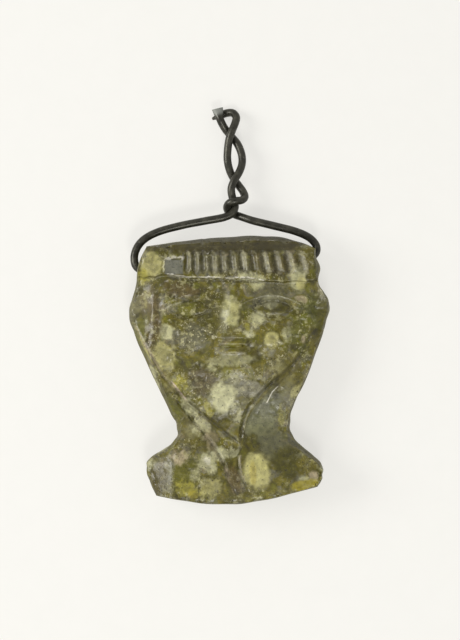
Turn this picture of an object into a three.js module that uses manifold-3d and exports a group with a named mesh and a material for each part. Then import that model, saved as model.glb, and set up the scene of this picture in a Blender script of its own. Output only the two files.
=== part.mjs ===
// Small carved stone amulet, the head emblem of a goddess, hung on a loop of twisted wire.
// Millimetres, +Z up. It lies on its flat back: the carved front faces +Z, the wire points to +Y.
// The origin is the middle of the flat back.

import * as THREE from 'three';
import { mergeVertices } from 'three/addons/utils/BufferGeometryUtils.js';
import Module from 'manifold-3d';

const wasm = await Module();
wasm.setup();

// Driving sizes of the stone
const HALF_WIDTH = 13.05; // from the middle to an ear tip
const FRONT_HEIGHT = 7.1; // thickness at the middle of the front, before carving
const EDGE_FALL = 0.8; // how far the crowned front drops at the ear tips
const WAIST_FALL = 0.5; // how much thinner the neck is
const WAIST_Y = -7.4;
const WAIST_LENGTH = 4;
const FOOT_FROM = [-10, -12]; // the foot's facet sets in between these heights
const FOOT_CORNER_X = -7.5; // the left corner of the foot is one big sloping facet from here
const FOOT_CORNER_SLOPE = 0.55;

// The crown band, with its flutes
const LEDGE_Y = 11.9; // where the middle of the ledge lies
const LEDGE_LINE = [[-12, 12.1], [-9, 12.2], [-7.7, 12.4], [-5.3, 12], [2.6, 11.9], [4.2, 11.6], [12, 11.7]];
const LEDGE_BEND_REACH = 1.6; // the rows of the mesh follow its bends this far up and down
const LEDGE_WIDTH = 0.24;
const BAND_PROUD = 0.5;
const BAND_BEVEL = [15.5, 16.8]; // between these heights the band slopes back to the top edge
const BAND_BEVEL_DROP = 0.5;
const FLUTES = 12;
const FLUTE_TOP_Y = 15.6;
const FLUTE_FOOT_Y = 12.35;
const FLUTE_SHARE = 0.8; // how much of the pitch a flute takes
const FLUTE_DEPTH = 0.42;
const FIRST_FLUTE_X = -5.45;
const FLUTE_PITCH = 1.0;
const FLUTE_SPREAD = 0.031; // the pitch grows towards the right
const FLUTE_LEAN = 0.03; // and so does the slant

// The face, a calm mask on its own axis
const FACE_X = 0.4;
const FACE_SINK = 0.1; // the ground under the band
const BROW = { out: 5.0, up: 9.75, bow: 0.075, reach: 3.6, fade: 1, width: 0.55, height: 0.32 };
const EYE = { out: 5.3, up: 8.0, halfLength: 2.6, halfHeight: 1.05, ball: 0.34 };
const SOCKET = { depth: 0.42, halfLength: 2.9, halfHeight: 1.55 };
const NOSE = { rootY: 10.6, tipY: 4.9, rootWidth: 0.75, wingWidth: 1.75, rootHeight: 0.2, tipHeight: 1.05 };
const NOSE_FADE = { root: 0.6, tip: 0.75 };
const LIPS = { up: 3.15, halfWidth: 2.3, upper: 0.5, lower: -0.55, thickness: 0.47, height: 0.3 };
const MOUTH = { halfLength: 2.1, cornerUp: 3.27, middleUp: 3.09 };
const CHIN = { up: 0.5, width: 2.6, length: 1.5, height: 0.42 };
const CHEEK = { out: 4.6, up: 4.4, width: 2.7, height: 0.3 };

// The ears, leaf shapes that reach out to the sides
const EAR = { axis: 0.2, root: 9.9, step: 0.9, up: 7.9, halfHeight: 3.1, drop: 0.75 };
const EAR_HOLLOW = { depth: 0.5, width: 0.9 };

// The lappets, which run from the ears to a point low on the neck, and the lines below that point
const LAPPET_LEFT = [[-12.3, 6.2], [-10.2, 2.3], [-8.6, -0.5], [-5.4, -4.0], [-1.7, -7.0], [1.35, -9.45]];
const LAPPET_RIGHT = [[10.6, 4.6], [8.3, 0.9], [4.9, -2.2], [2.6, -4.8], [1.75, -6.9], [1.45, -9.35]];
const LAPPET_DROP = 0.5; // how far the straps lie under the face
const LAPPET_STEP = [-0.3, 0.9]; // the drop begins and ends at these distances from the line
const LAPPET_FOOT = [-13, -7]; // and fades out between these heights below
const LAPPET_HEAD = [8, 5]; // and above
const LAPPET_FADE = [-9.4, -7]; // the left side's slope fades out between these heights
const STRAP_EDGE = [[-6.9, -3.6], [-4.3, -6.9], [-2.4, -9.1], [-0.9, -11.4], [0.1, -14.0], [0.9, -15.9]];
const STEM_EDGE = [[1.2, -10.8], [1.2, -12.4], [2.0, -14.3], [2.7, -15.9]];
const STRAP_WIDTH = 1.5; // beyond it the left side slopes away
const STRAP_SLOPE = 0.25;

// The plain pad at the left end of the flutes
const PAD_TOP = [[-8.5, 14.35], [-7.2, 14.5], [-5.9, 14.45]];
const PAD_SIDE = [[-8.45, 14.6], [-8.6, 13.5], [-8.5, 12.4]];

// Folds where the ears spring from the head
const EAR_LEFT_ROOT = [[-9.9, 10.6], [-10.2, 9.0], [-10.3, 7.2], [-10.9, 5.6]];
const EAR_RIGHT_ROOT = [[11.9, 9.9], [11.0, 8.5], [10.4, 7.4], [10.3, 5.9]];

// Outline of the stone, as [level, x] where a side changes direction. A level is a height above the middle,
// except that the highest and lowest levels bend to follow the top and bottom edges.
const LEFT_SIDE = [
  [-16.3, -9.5], // corner of the foot
  [-14.4, -10.35],
  [-12.5, -10.75],
  [-11.4, -10.35],
  [-10.3, -8.7],
  [-9.1, -7.25],
  [-7.6, -6.85], // neck
  [-5.7, -7.6],
  [-2.5, -9.15],
  [1.4, -10.95],
  [5.0, -12.45],
  [7.5, -13.05], // ear tip
  [9.3, -12.65],
  [11.3, -12.1],
  [13.6, -11.85],
  [16.2, -10.75], // corner of the crown
];
const RIGHT_SIDE = [
  [-16.3, 11.6], // corner of the foot
  [-15.3, 12.05],
  [-13.6, 12.2],
  [-12.4, 12.2],
  [-11.1, 11.1],
  [-9.8, 9.55],
  [-8.4, 8.35],
  [-6.6, 8.05], // neck
  [-4.6, 8.45],
  [-1.8, 9.8],
  [2.1, 11.3],
  [6.6, 12.75],
  [8.9, 13.05], // ear tip
  [10.2, 12.4],
  [11.4, 11.7],
  [13.4, 11.95], // swelling beside the bore
  [14.9, 11.45],
  [16.2, 11.3], // corner of the crown
];
const FOOT_LEVEL = LEFT_SIDE[0][0];
const CROWN_LEVEL = LEFT_SIDE[LEFT_SIDE.length - 1][0];
const BEND_BOTTOM_FROM = -13;
const BEND_TOP_FROM = 12.5;
const TOP_BACK = [[-10.75, 16.2], [-6.2, 16.95], [0.4, 17.5], [4.5, 17.6], [8.7, 17.0], [11.3, 15.9]];
const TOP_FRONT = [[-10.75, 16.05], [-6.2, 16.35], [0.4, 16.75], [6, 16.85], [9.6, 16.4], [11.3, 15.75]];
const BOTTOM = [[-9.5, -16.3], [-6, -16.95], [-0.4, -17.4], [3.5, -17.05], [8.5, -15.95], [11.6, -15.15]];

// How far the front edge stands inside the outline, as [level, inset]
const LEFT_BEVEL = [[-16.3, 0.45], [-7.6, 0.55], [1.4, 0.75], [7.5, 0.55], [11.3, 0.3], [16.2, 0.15]];
const RIGHT_BEVEL = [
  [-16.3, 0.3],
  [-12.4, 0.35],
  [-10.3, 0.9], // shoulder of the foot
  [-8.2, 0.6],
  [-6.6, 0.4],
  [8.9, 0.4],
  [11.4, 0.2],
  [13.4, 0.5], // swelling beside the bore
  [16.2, 0.12],
];
const BOTTOM_BEVEL = 0.28;

// The walls, from the front edge to the flat back
const SIDE_DEPTH = 4.3; // height of the widest line along the sides
const TOP_DEPTH = 1.7; // and along the slanting top
const BOTTOM_DEPTH = 4.6;
const CORNER_REACH = 2; // the depths blend over this much of a side
const TOP_CORNER_SHARE = 0.12; // and over this share of the top
const BACK_RINGS = [
  { part: 0.45, inset: 0.06 },
  { part: 0.14, inset: 0.4 },
  { part: 0, inset: 1.0 },
];

// Mesh of the front: cells across, and cells up to the ledge of the band and over it
const COLUMNS = 34;
const ROWS_TO_LEDGE = 35;
const ROWS_OF_BAND = 7;
const ROWS = ROWS_TO_LEDGE + 1 + ROWS_OF_BAND;

// The wire and its bore
const WIRE_RADIUS = 0.5;
const WIRE_SIDES = 8;
const WIRE_STEPS = 140;
const CUT_END = { reach: 1.0, wide: 1.4, thick: 0.6 }; // nipped off and spread by the cutter
const HOOKED_END = { reach: 1.2, wide: 0.3, thick: 0.3 }; // drawn out to a point
const BORE_RADIUS = 0.85; // leaves 0.35 round the wire, which it follows from shoulder to shoulder
const BORE_SIDES = 8;
const BORE_STEPS = 26;
const BORE_HEIGHT = 3.9;
const BORE_Y = 13.9;
const WIRE_SLOPE = 0.127; // the twist lies down to the table, so its end touches it

// Route of the wire from its cut end to its hooked end, as [x, y, lift above the sloping middle].
// Where the strands cross, one lies a wire's thickness over the other.
const TWIST_A = [
  [-1.52, 34.25, 0.25],
  [-1.15, 32.8, 0.12],
  [-0.5, 31.6, -0.38],
  [0.2, 30.75, -0.56],
  [1.1, 29.6, -0.3],
  [1.65, 28.2, 0],
  [1.7, 27, 0.15],
  [1.3, 25.8, 0.42],
  [0.7, 24.8, 0.56],
  [0.3, 23.7, 0.4],
  [0.45, 22.5, 0.05],
  [0.8, 21.4, 0],
  [0.45, 20.5, 0.1],
  [-0.5, 20.0, 0.1],
];
const LEFT_ARM = [
  [-3.0, 19.5, 0],
  [-6.1, 18.9, 0],
  [-9.2, 18.05, 0],
  [-10.8, 17.25, 0],
];
const THROUGH_STONE = [
  [-11.7, 16.4, 0], // left shoulder
  [-12.2, 15.4, 0],
  [-12.32, 14.5, 0],
  [-12.1, 13.6, 0],
  [-11.4, 13.05, 0],
  [-10.3, 13.0, 0],
  [10.0, 14.65, 0],
  [10.85, 14.85, 0],
  [11.35, 15.4, 0],
  [11.38, 16.15, 0],
  [10.95, 16.85, 0],
  [10.2, 17.45, 0], // right shoulder
];
const RIGHT_ARM = [
  [8.7, 18.1, 0],
  [5.6, 18.9, 0],
  [3.0, 19.55, -0.1],
];
const TWIST_B = [
  [1.7, 20.0, -0.55],
  [0.75, 20.35, -1.02],
  [0.0, 20.7, -0.9],
  [-0.32, 21.25, 0],
  [0.05, 21.8, 0.87],
  [0.8, 22.05, 1.1],
  [1.6, 22.15, 0.7],
  [2.05, 22.6, 0.1],
  [1.85, 23.3, -0.3],
  [1.3, 24.1, -0.5],
  [0.7, 24.9, -0.56],
  [0.1, 26.1, -0.3],
  [-0.2, 27.5, 0],
  [-0.15, 29, 0.1],
  [0.05, 30.3, 0.42],
  [0.4, 31.3, 0.56],
  [0.8, 32.3, 0.4],
  [0.95, 33.1, 0.1],
  [0.5, 33.7, -0.3],
  [-0.3, 33.72, -0.7],
  [-1.2, 33.4, -0.9],
  [-2.2, 32.95, -0.9],
];

// Fine lines cut into the front
const GROOVE_STEP = 1.0;
const GROOVE_POINT = 1.6; // steps over which a line runs out to a point
const GROOVE_BLUNT = 0.15; // how blunt, in steps, that point stays
const GROOVE_CLEAR = 0.35; // how far a cut reaches over the surface
const LID_POINTS = 6;
const LID_HALF_LENGTH = 2.75;
const LID_LINE = { width: 0.42, depth: 0.22 };
const LAPPET_LINE = { width: 0.75, depth: 0.45 };
const STRAP_LINE = { width: 0.55, depth: 0.32 };
const PAD_LINE = { width: 0.4, depth: 0.22 };
const EAR_LINE = { width: 0.6, depth: 0.3 };

// Materials
const stoneMaterial = new THREE.MeshStandardMaterial({ color: 0x74734a, roughness: 0.32, metalness: 0 });
const wireMaterial = new THREE.MeshStandardMaterial({ color: 0x45433d, roughness: 0.45, metalness: 0.8 });

// Smooth step from 0 at one value to 1 at another, in either direction
function rise(from, to, value) {
  const t = THREE.MathUtils.clamp((value - from) / (to - from), 0, 1);
  return t * t * (3 - 2 * t);
}

// Soft bump, 1 in its middle
function bell(offset, width) {
  return Math.exp(-((offset / width) ** 2));
}

// Smooth curve through [at, value] stations, flat beyond its ends
function through(stations) {
  const last = stations.length - 1;
  const chord = (i) => (stations[i + 1][1] - stations[i][1]) / (stations[i + 1][0] - stations[i][0]);
  const slope = (i) => {
    if (i === 0) return chord(0);
    if (i === last) return chord(last - 1);
    return (chord(i - 1) + chord(i)) / 2;
  };
  return (at) => {
    const here = THREE.MathUtils.clamp(at, stations[0][0], stations[last][0]);
    let i = 0;
    while (i < last - 1 && here > stations[i + 1][0]) i += 1;
    const span = stations[i + 1][0] - stations[i][0];
    const t = (here - stations[i][0]) / span;
    const fromStart = stations[i][1] + slope(i) * span * t;
    const fromEnd = stations[i + 1][1] - slope(i + 1) * span * (1 - t);
    const blend = t * t * (3 - 2 * t);
    return fromStart * (1 - blend) + fromEnd * blend;
  };
}

const leftSide = through(LEFT_SIDE);
const rightSide = through(RIGHT_SIDE);
const topBack = through(TOP_BACK);
const topFront = through(TOP_FRONT);
const bottomEdge = through(BOTTOM);
const leftBevel = through(LEFT_BEVEL);
const rightBevel = through(RIGHT_BEVEL);
const ledge = through(LEDGE_LINE);

// Signed distance to a line of [x, y] points, positive on its right hand when walked from its start
function beside(line, x, y) {
  let nearest = Infinity;
  let signed = 0;
  for (let i = 0; i < line.length - 1; i += 1) {
    const [ax, ay] = line[i];
    const [bx, by] = line[i + 1];
    const dx = bx - ax;
    const dy = by - ay;
    const t = THREE.MathUtils.clamp(((x - ax) * dx + (y - ay) * dy) / (dx * dx + dy * dy), 0, 1);
    const offX = x - ax - t * dx;
    const offY = y - ay - t * dy;
    const distance = Math.hypot(offX, offY);
    if (distance < nearest) {
      nearest = distance;
      signed = Math.sign(dy * offX - dx * offY) * distance;
    }
  }
  return signed;
}

// The worked front, as a height above the back, built up from its forms

function body(x, y) {
  const crowned = FRONT_HEIGHT - EDGE_FALL * (x / HALF_WIDTH) ** 2;
  const neck = -WAIST_FALL * bell(y - WAIST_Y, WAIST_LENGTH);
  const footCorner = -FOOT_CORNER_SLOPE * Math.max(0, FOOT_CORNER_X - x) * rise(...FOOT_FROM, y);
  return crowned + neck + footCorner;
}

function crownBand(x, y) {
  const proud = BAND_PROUD * rise(-LEDGE_WIDTH / 2, LEDGE_WIDTH / 2, y - ledge(x));
  const bevel = BAND_BEVEL_DROP * rise(...BAND_BEVEL, y);
  return proud - bevel;
}

function face(x, y) {
  const out = Math.abs(x - FACE_X);
  const browLine = BROW.up - BROW.bow * (out - BROW.out) ** 2;
  const browEnds = rise(BROW.reach + BROW.fade, BROW.reach, Math.abs(out - BROW.out));
  const brow = BROW.height * bell(y - browLine, BROW.width) * browEnds;
  const eyeOut = out - EYE.out;
  const eyeUp = y - EYE.up;
  const socket = SOCKET.depth * bell(eyeOut, SOCKET.halfLength) * bell(eyeUp, SOCKET.halfHeight);
  const ball = EYE.ball * Math.max(0, 1 - (eyeOut / EYE.halfLength) ** 2 - (eyeUp / EYE.halfHeight) ** 2);
  const down = THREE.MathUtils.clamp((NOSE.rootY - y) / (NOSE.rootY - NOSE.tipY), 0, 1);
  const noseWidth = THREE.MathUtils.lerp(NOSE.rootWidth, NOSE.wingWidth, down ** 2);
  const noseHeight = THREE.MathUtils.lerp(NOSE.rootHeight, NOSE.tipHeight, down);
  const underTip = rise(NOSE.tipY - NOSE_FADE.tip, NOSE.tipY, y);
  const overRoot = rise(NOSE.rootY + NOSE_FADE.root, NOSE.rootY, y);
  const nose = noseHeight * bell(out, noseWidth) * underTip * overRoot;
  const lipEnds = Math.max(0, 1 - (out / LIPS.halfWidth) ** 2);
  const upperLip = bell(y - LIPS.up - LIPS.upper, LIPS.thickness);
  const lowerLip = bell(y - LIPS.up - LIPS.lower, LIPS.thickness);
  const lips = LIPS.height * lipEnds * (upperLip + lowerLip);
  const chin = CHIN.height * bell(out, CHIN.width) * bell(y - CHIN.up, CHIN.length);
  const cheeks = CHEEK.height * bell(out - CHEEK.out, CHEEK.width) * bell(y - CHEEK.up, CHEEK.width);
  return brow + ball + nose + lips + chin + cheeks - socket - FACE_SINK;
}

function ears(x, y) {
  const pastRoot = rise(EAR.root, EAR.root + EAR.step, Math.abs(x - EAR.axis));
  const leaf = bell(y - EAR.up, EAR.halfHeight);
  const hollow = EAR_HOLLOW.depth * bell(y - EAR.up, EAR_HOLLOW.width);
  return -pastRoot * leaf * (EAR.drop + hollow);
}

function lappets(x, y) {
  const leftOutside = beside(LAPPET_LEFT, x, y);
  const rightOutside = -beside(LAPPET_RIGHT, x, y);
  const alongStraps = rise(...LAPPET_FOOT, y) * rise(...LAPPET_HEAD, y);
  const step = rise(...LAPPET_STEP, Math.max(leftOutside, rightOutside));
  const slopeLeft = STRAP_SLOPE * Math.max(0, leftOutside - STRAP_WIDTH) * rise(...LAPPET_FADE, y);
  return -alongStraps * (LAPPET_DROP * step + slopeLeft);
}

function frontHeight(x, y) {
  const onFace = rise(LEDGE_WIDTH, -LEDGE_WIDTH, y - ledge(x));
  return body(x, y) + crownBand(x, y) + onFace * (face(x, y) + ears(x, y)) + lappets(x, y);
}

// Edges that a layer of the stone reaches to: the outline, the front edge inside it, and any inset of it
const frontEdge = {
  left: (level) => leftSide(level) + leftBevel(level),
  right: (level) => rightSide(level) - rightBevel(level),
  top: topFront,
  bottom: (x) => bottomEdge(x) + BOTTOM_BEVEL,
};
function insetEdge(inset) {
  return {
    left: (level) => leftSide(level) + inset,
    right: (level) => rightSide(level) - inset,
    top: (x) => topBack(x) - inset,
    bottom: (x) => bottomEdge(x) + inset,
  };
}

// Level of a row of the mesh, with one row of cells kept for the step of the ledge
function rowLevel(row) {
  if (row <= ROWS_TO_LEDGE) {
    return THREE.MathUtils.lerp(FOOT_LEVEL, LEDGE_Y - LEDGE_WIDTH / 2, row / ROWS_TO_LEDGE);
  }
  const over = (row - ROWS_TO_LEDGE - 1) / ROWS_OF_BAND;
  return THREE.MathUtils.lerp(LEDGE_Y + LEDGE_WIDTH / 2, CROWN_LEVEL, over);
}

// Where a corner of the mesh lies in a layer of the stone that reaches to the given edge
function place(column, row, edge) {
  const level = rowLevel(row);
  const x = THREE.MathUtils.lerp(edge.left(level), edge.right(level), column / COLUMNS);
  const nearTop = rise(BEND_TOP_FROM, CROWN_LEVEL, level);
  const nearBottom = rise(BEND_BOTTOM_FROM, FOOT_LEVEL, level);
  const bend = (ledge(x) - LEDGE_Y) * bell(level - LEDGE_Y, LEDGE_BEND_REACH) * (1 - nearTop);
  const y = level + nearTop * (edge.top(x) - CROWN_LEVEL) + nearBottom * (edge.bottom(x) - FOOT_LEVEL);
  return [x, y + bend];
}

// Counter-clockwise walk round the edge of the front grid, as [column, row]
function edgeWalk() {
  const walk = [];
  for (let i = 0; i < COLUMNS; i += 1) walk.push([i, 0]);
  for (let j = 0; j < ROWS; j += 1) walk.push([COLUMNS, j]);
  for (let i = COLUMNS; i > 0; i -= 1) walk.push([i, ROWS]);
  for (let j = ROWS; j > 0; j -= 1) walk.push([0, j]);
  return walk;
}

// Height of the widest line of the wall at a place on the edge
function wallDepth([column, row]) {
  const level = rowLevel(row);
  const fromCorner = Math.min(column, COLUMNS - column) / COLUMNS;
  const onTop = rise(0, TOP_CORNER_SHARE, fromCorner);
  const nearTop = rise(CROWN_LEVEL - CORNER_REACH, CROWN_LEVEL, level) * onTop;
  const nearBottom = rise(FOOT_LEVEL + CORNER_REACH, FOOT_LEVEL, level);
  const upperDepth = THREE.MathUtils.lerp(SIDE_DEPTH, TOP_DEPTH, nearTop);
  return THREE.MathUtils.lerp(upperDepth, BOTTOM_DEPTH, nearBottom);
}

// The uncut block: carved front, walls that step in to the back, flat back
function stoneBlock() {
  const points = [];
  const faces = [];
  const add = (x, y, z) => points.push([x, y, z]) - 1;
  const front = (i, j) => j * (COLUMNS + 1) + i;
  for (let j = 0; j <= ROWS; j += 1) {
    for (let i = 0; i <= COLUMNS; i += 1) {
      const [x, y] = place(i, j, frontEdge);
      add(x, y, frontHeight(x, y));
    }
  }
  for (let j = 0; j < ROWS; j += 1) {
    for (let i = 0; i < COLUMNS; i += 1) {
      const [a, b, c, d] = [front(i, j), front(i + 1, j), front(i + 1, j + 1), front(i, j + 1)];
      const alongAC = Math.abs(points[a][2] - points[c][2]) < Math.abs(points[b][2] - points[d][2]);
      faces.push(...(alongAC ? [[a, b, c], [a, c, d]] : [[a, b, d], [b, c, d]]));
    }
  }
  const walk = edgeWalk();
  let ring = walk.map(([i, j]) => front(i, j));
  for (const { part, inset } of [{ part: 1, inset: 0 }, ...BACK_RINGS]) {
    const edge = insetEdge(inset);
    const next = walk.map(([i, j]) => {
      const [x, y] = place(i, j, edge);
      return add(x, y, wallDepth([i, j]) * part);
    });
    for (let k = 0; k < ring.length; k += 1) {
      const after = (k + 1) % ring.length;
      faces.push([ring[k], next[k], next[after]], [ring[k], next[after], ring[after]]);
    }
    ring = next;
  }
  const backOutline = ring.map((k) => new THREE.Vector2(points[k][0], points[k][1]));
  for (const [a, b, c] of THREE.ShapeUtils.triangulateShape(backOutline, [])) {
    faces.push([ring[a], ring[c], ring[b]]);
  }
  return solidFrom(points.flat(), faces.flat());
}

function solidFrom(positions, triangles) {
  const mesh = new wasm.Mesh({
    numProp: 3,
    vertProperties: new Float32Array(positions),
    triVerts: new Uint32Array(triangles),
  });
  return new wasm.Manifold(mesh);
}

function solidOf(geometry) {
  const bare = geometry.clone();
  bare.deleteAttribute('normal');
  bare.deleteAttribute('uv');
  const merged = mergeVertices(bare, 1e-5);
  return solidFrom(merged.attributes.position.array, merged.index.array);
}

// A pointed V-shaped cut along a line of [x, y] points on the front
function groove(line, { width, depth }) {
  const stations = line.map(([x, y]) => new THREE.Vector3(x, y, 0));
  const curve = new THREE.CatmullRomCurve3(stations, false, 'centripetal');
  const steps = Math.max(4, Math.ceil(curve.getLength() / GROOVE_STEP));
  const positions = [];
  const faces = [];
  for (let i = 0; i <= steps; i += 1) {
    const { x, y } = curve.getPointAt(i / steps);
    const along = curve.getTangentAt(i / steps);
    const fromEnd = Math.min(i, steps - i) + GROOVE_BLUNT;
    const taper = Math.min(1, fromEnd / GROOVE_POINT);
    const surface = frontHeight(x, y);
    const half = taper * width * 0.5 + GROOVE_CLEAR * (width * 0.5) / depth;
    positions.push(x - along.y * half, y + along.x * half, surface + GROOVE_CLEAR);
    positions.push(x + along.y * half, y - along.x * half, surface + GROOVE_CLEAR);
    positions.push(x, y, surface - taper * depth);
  }
  faces.push(0, 2, 1);
  for (let i = 0; i < steps; i += 1) {
    for (let side = 0; side < 3; side += 1) {
      const a = 3 * i + side;
      const b = 3 * i + ((side + 1) % 3);
      faces.push(a, b + 3, a + 3, a, b, b + 3);
    }
  }
  faces.push(3 * steps, 3 * steps + 1, 3 * steps + 2);
  return solidFrom(positions, faces);
}

function flutes() {
  return Array.from({ length: FLUTES }, (_, i) => {
    const x = FIRST_FLUTE_X + FLUTE_PITCH * i + FLUTE_SPREAD * i * i;
    const width = FLUTE_SHARE * (FLUTE_PITCH + 2 * FLUTE_SPREAD * i);
    const lean = FLUTE_LEAN * i;
    const middle = (FLUTE_TOP_Y + FLUTE_FOOT_Y) / 2;
    const line = [[x - lean, FLUTE_TOP_Y], [x, middle], [x + lean, FLUTE_FOOT_Y]];
    return groove(line, { width, depth: FLUTE_DEPTH });
  });
}

// Upper and lower lid lines of the eye on one side, -1 left or 1 right
function lidLines(side) {
  return [1, -1].map((up) => {
    const line = [];
    for (let k = 0; k <= LID_POINTS; k += 1) {
      const along = -1 + (2 * k) / LID_POINTS;
      const x = FACE_X + side * (EYE.out + along * LID_HALF_LENGTH);
      line.push([x, EYE.up + up * EYE.halfHeight * (1 - along ** 2)]);
    }
    return groove(line, LID_LINE);
  });
}

function mouthLine() {
  const { halfLength, cornerUp, middleUp } = MOUTH;
  return groove([
    [FACE_X - halfLength, cornerUp],
    [FACE_X, middleUp],
    [FACE_X + halfLength, cornerUp],
  ], LID_LINE);
}

// Middle line of the wire, one smooth curve from the cut end to the hooked end
function wireCurve(route) {
  return new THREE.CatmullRomCurve3(route.map(([x, y, lift]) => {
    const lying = BORE_HEIGHT - WIRE_SLOPE * Math.max(0, y - BORE_Y);
    return new THREE.Vector3(x, y, lying + lift);
  }), false, 'centripetal');
}

function tube(curve, radius, sides, steps) {
  const section = new THREE.Shape();
  for (let k = 0; k < sides; k += 1) {
    const turn = (2 * Math.PI * k) / sides;
    if (k === 0) section.moveTo(radius, 0);
    else section.lineTo(radius * Math.cos(turn), radius * Math.sin(turn));
  }
  return new THREE.ExtrudeGeometry(section, { steps, extrudePath: curve, bevelEnabled: false });
}

// Hammers or draws out one end of the wire: full effect at the very end, none at its reach
function workEnd(geometry, curve, at, { reach, wide, thick }) {
  const end = curve.getPointAt(at);
  const outward = curve.getTangentAt(at).multiplyScalar(at === 0 ? -1 : 1);
  const across = new THREE.Vector3(-outward.y, outward.x, 0).normalize();
  const upward = new THREE.Vector3().crossVectors(outward, across);
  const corner = new THREE.Vector3();
  const position = geometry.attributes.position;
  for (let i = 0; i < position.count; i += 1) {
    corner.fromBufferAttribute(position, i).sub(end);
    const back = -corner.dot(outward);
    if (corner.length() < reach + WIRE_RADIUS && back < reach) {
      const worked = 1 - Math.max(0, back) / reach;
      const sideways = corner.dot(across);
      const height = corner.dot(upward);
      corner.addScaledVector(across, sideways * (wide - 1) * worked);
      corner.addScaledVector(upward, height * (thick - 1) * worked);
      corner.add(end);
      position.setXYZ(i, corner.x, corner.y, corner.z);
    }
  }
}

function meshOf(name, solid, material) {
  const { vertProperties, triVerts } = solid.getMesh();
  const geometry = new THREE.BufferGeometry();
  geometry.setAttribute('position', new THREE.BufferAttribute(vertProperties, 3));
  geometry.setIndex(new THREE.BufferAttribute(triVerts, 1));
  geometry.computeVertexNormals();
  const mesh = new THREE.Mesh(geometry, material);
  mesh.name = name;
  return mesh;
}

function carvedStone() {
  const cuts = [
    ...flutes(),
    ...lidLines(-1),
    ...lidLines(1),
    mouthLine(),
    groove(LAPPET_LEFT.slice(1), LAPPET_LINE),
    groove(LAPPET_RIGHT, LAPPET_LINE),
    groove(STRAP_EDGE, STRAP_LINE),
    groove(STEM_EDGE, STRAP_LINE),
    groove(PAD_TOP, PAD_LINE),
    groove(PAD_SIDE, PAD_LINE),
    groove(EAR_LEFT_ROOT, EAR_LINE),
    groove(EAR_RIGHT_ROOT, EAR_LINE),
    solidOf(tube(wireCurve(THROUGH_STONE), BORE_RADIUS, BORE_SIDES, BORE_STEPS)),
  ];
  return cuts.reduce((stone, cut) => stone.subtract(cut), stoneBlock());
}

function suspensionWire() {
  const route = [...TWIST_A, ...LEFT_ARM, ...THROUGH_STONE, ...RIGHT_ARM, ...TWIST_B];
  const curve = wireCurve(route);
  const wire = tube(curve, WIRE_RADIUS, WIRE_SIDES, WIRE_STEPS);
  workEnd(wire, curve, 0, CUT_END);
  workEnd(wire, curve, 1, HOOKED_END);
  return solidOf(wire);
}

const amulet = new THREE.Group();
amulet.add(meshOf('carved_stone', carvedStone(), stoneMaterial));
amulet.add(meshOf('suspension_wire', suspensionWire(), wireMaterial));

export default amulet;
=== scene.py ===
# Looks of a small carved stone amulet that hangs on a loop of twisted wire and lies on its flat back.
# Shapes are worked out in millimetres, in the frame's own axes, and turned into metres as each mesh is made.

import math

import bmesh
import bpy
import numpy as np
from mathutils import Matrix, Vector, geometry


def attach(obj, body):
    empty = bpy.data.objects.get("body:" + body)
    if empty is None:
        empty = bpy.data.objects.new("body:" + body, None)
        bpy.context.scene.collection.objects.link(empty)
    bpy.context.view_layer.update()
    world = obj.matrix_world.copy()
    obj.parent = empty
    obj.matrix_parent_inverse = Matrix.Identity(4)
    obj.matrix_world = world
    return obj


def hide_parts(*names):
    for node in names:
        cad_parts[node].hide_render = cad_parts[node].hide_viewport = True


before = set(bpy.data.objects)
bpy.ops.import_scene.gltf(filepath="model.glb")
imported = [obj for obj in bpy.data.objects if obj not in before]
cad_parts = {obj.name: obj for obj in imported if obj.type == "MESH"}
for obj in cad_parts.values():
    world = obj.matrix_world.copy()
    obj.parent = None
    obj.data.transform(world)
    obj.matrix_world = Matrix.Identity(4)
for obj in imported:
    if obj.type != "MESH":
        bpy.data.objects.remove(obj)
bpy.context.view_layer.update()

MM = 0.001

# Driving sizes of the stone, as in the solid, where the foot's corner has a straight, sharp edge
HALF_WIDTH = 13.05
FRONT_HEIGHT = 7.1
EDGE_FALL = 0.8
WAIST_FALL = 0.5
WAIST_Y = -7.4
WAIST_LENGTH = 4
FOOT_FROM = (-10, -12)
FOOT_CORNER_X = -7.5
FOOT_CORNER_SLOPE = 0.55
FOOT_SOFT = 0.5
FOOT_WANDER, FOOT_WANDER_SIZE, FOOT_WANDER_SEED = 0.6, 3.0, 9

# The crown band, its ledge and flutes
LEDGE = [(-12, 12.1), (-9, 12.2), (-7.7, 12.4), (-5.3, 12), (2.6, 11.9), (4.2, 11.6), (12, 11.7)]
LEDGE_WIDTH = 0.24
LEDGE_CHIP, LEDGE_CHIP_SIZE, LEDGE_CHIP_STRETCH, LEDGE_CHIP_SEED = 0.5, 0.45, 0.3, 3
BAND_PROUD = 0.5
BAND_BEVEL = (15.5, 16.8)
BAND_BEVEL_DROP = 0.5
FLUTES = 12
FLUTE_Y = (15.6, 13.975, 12.35)
FLUTE_SHARE = 0.8
FLUTE_DEPTH = 0.42
FLUTE_ROUND = 1.5
FIRST_FLUTE_X = -5.45
FLUTE_PITCH = 1.0
FLUTE_SPREAD = 0.031
FLUTE_LEAN = 0.03

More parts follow.
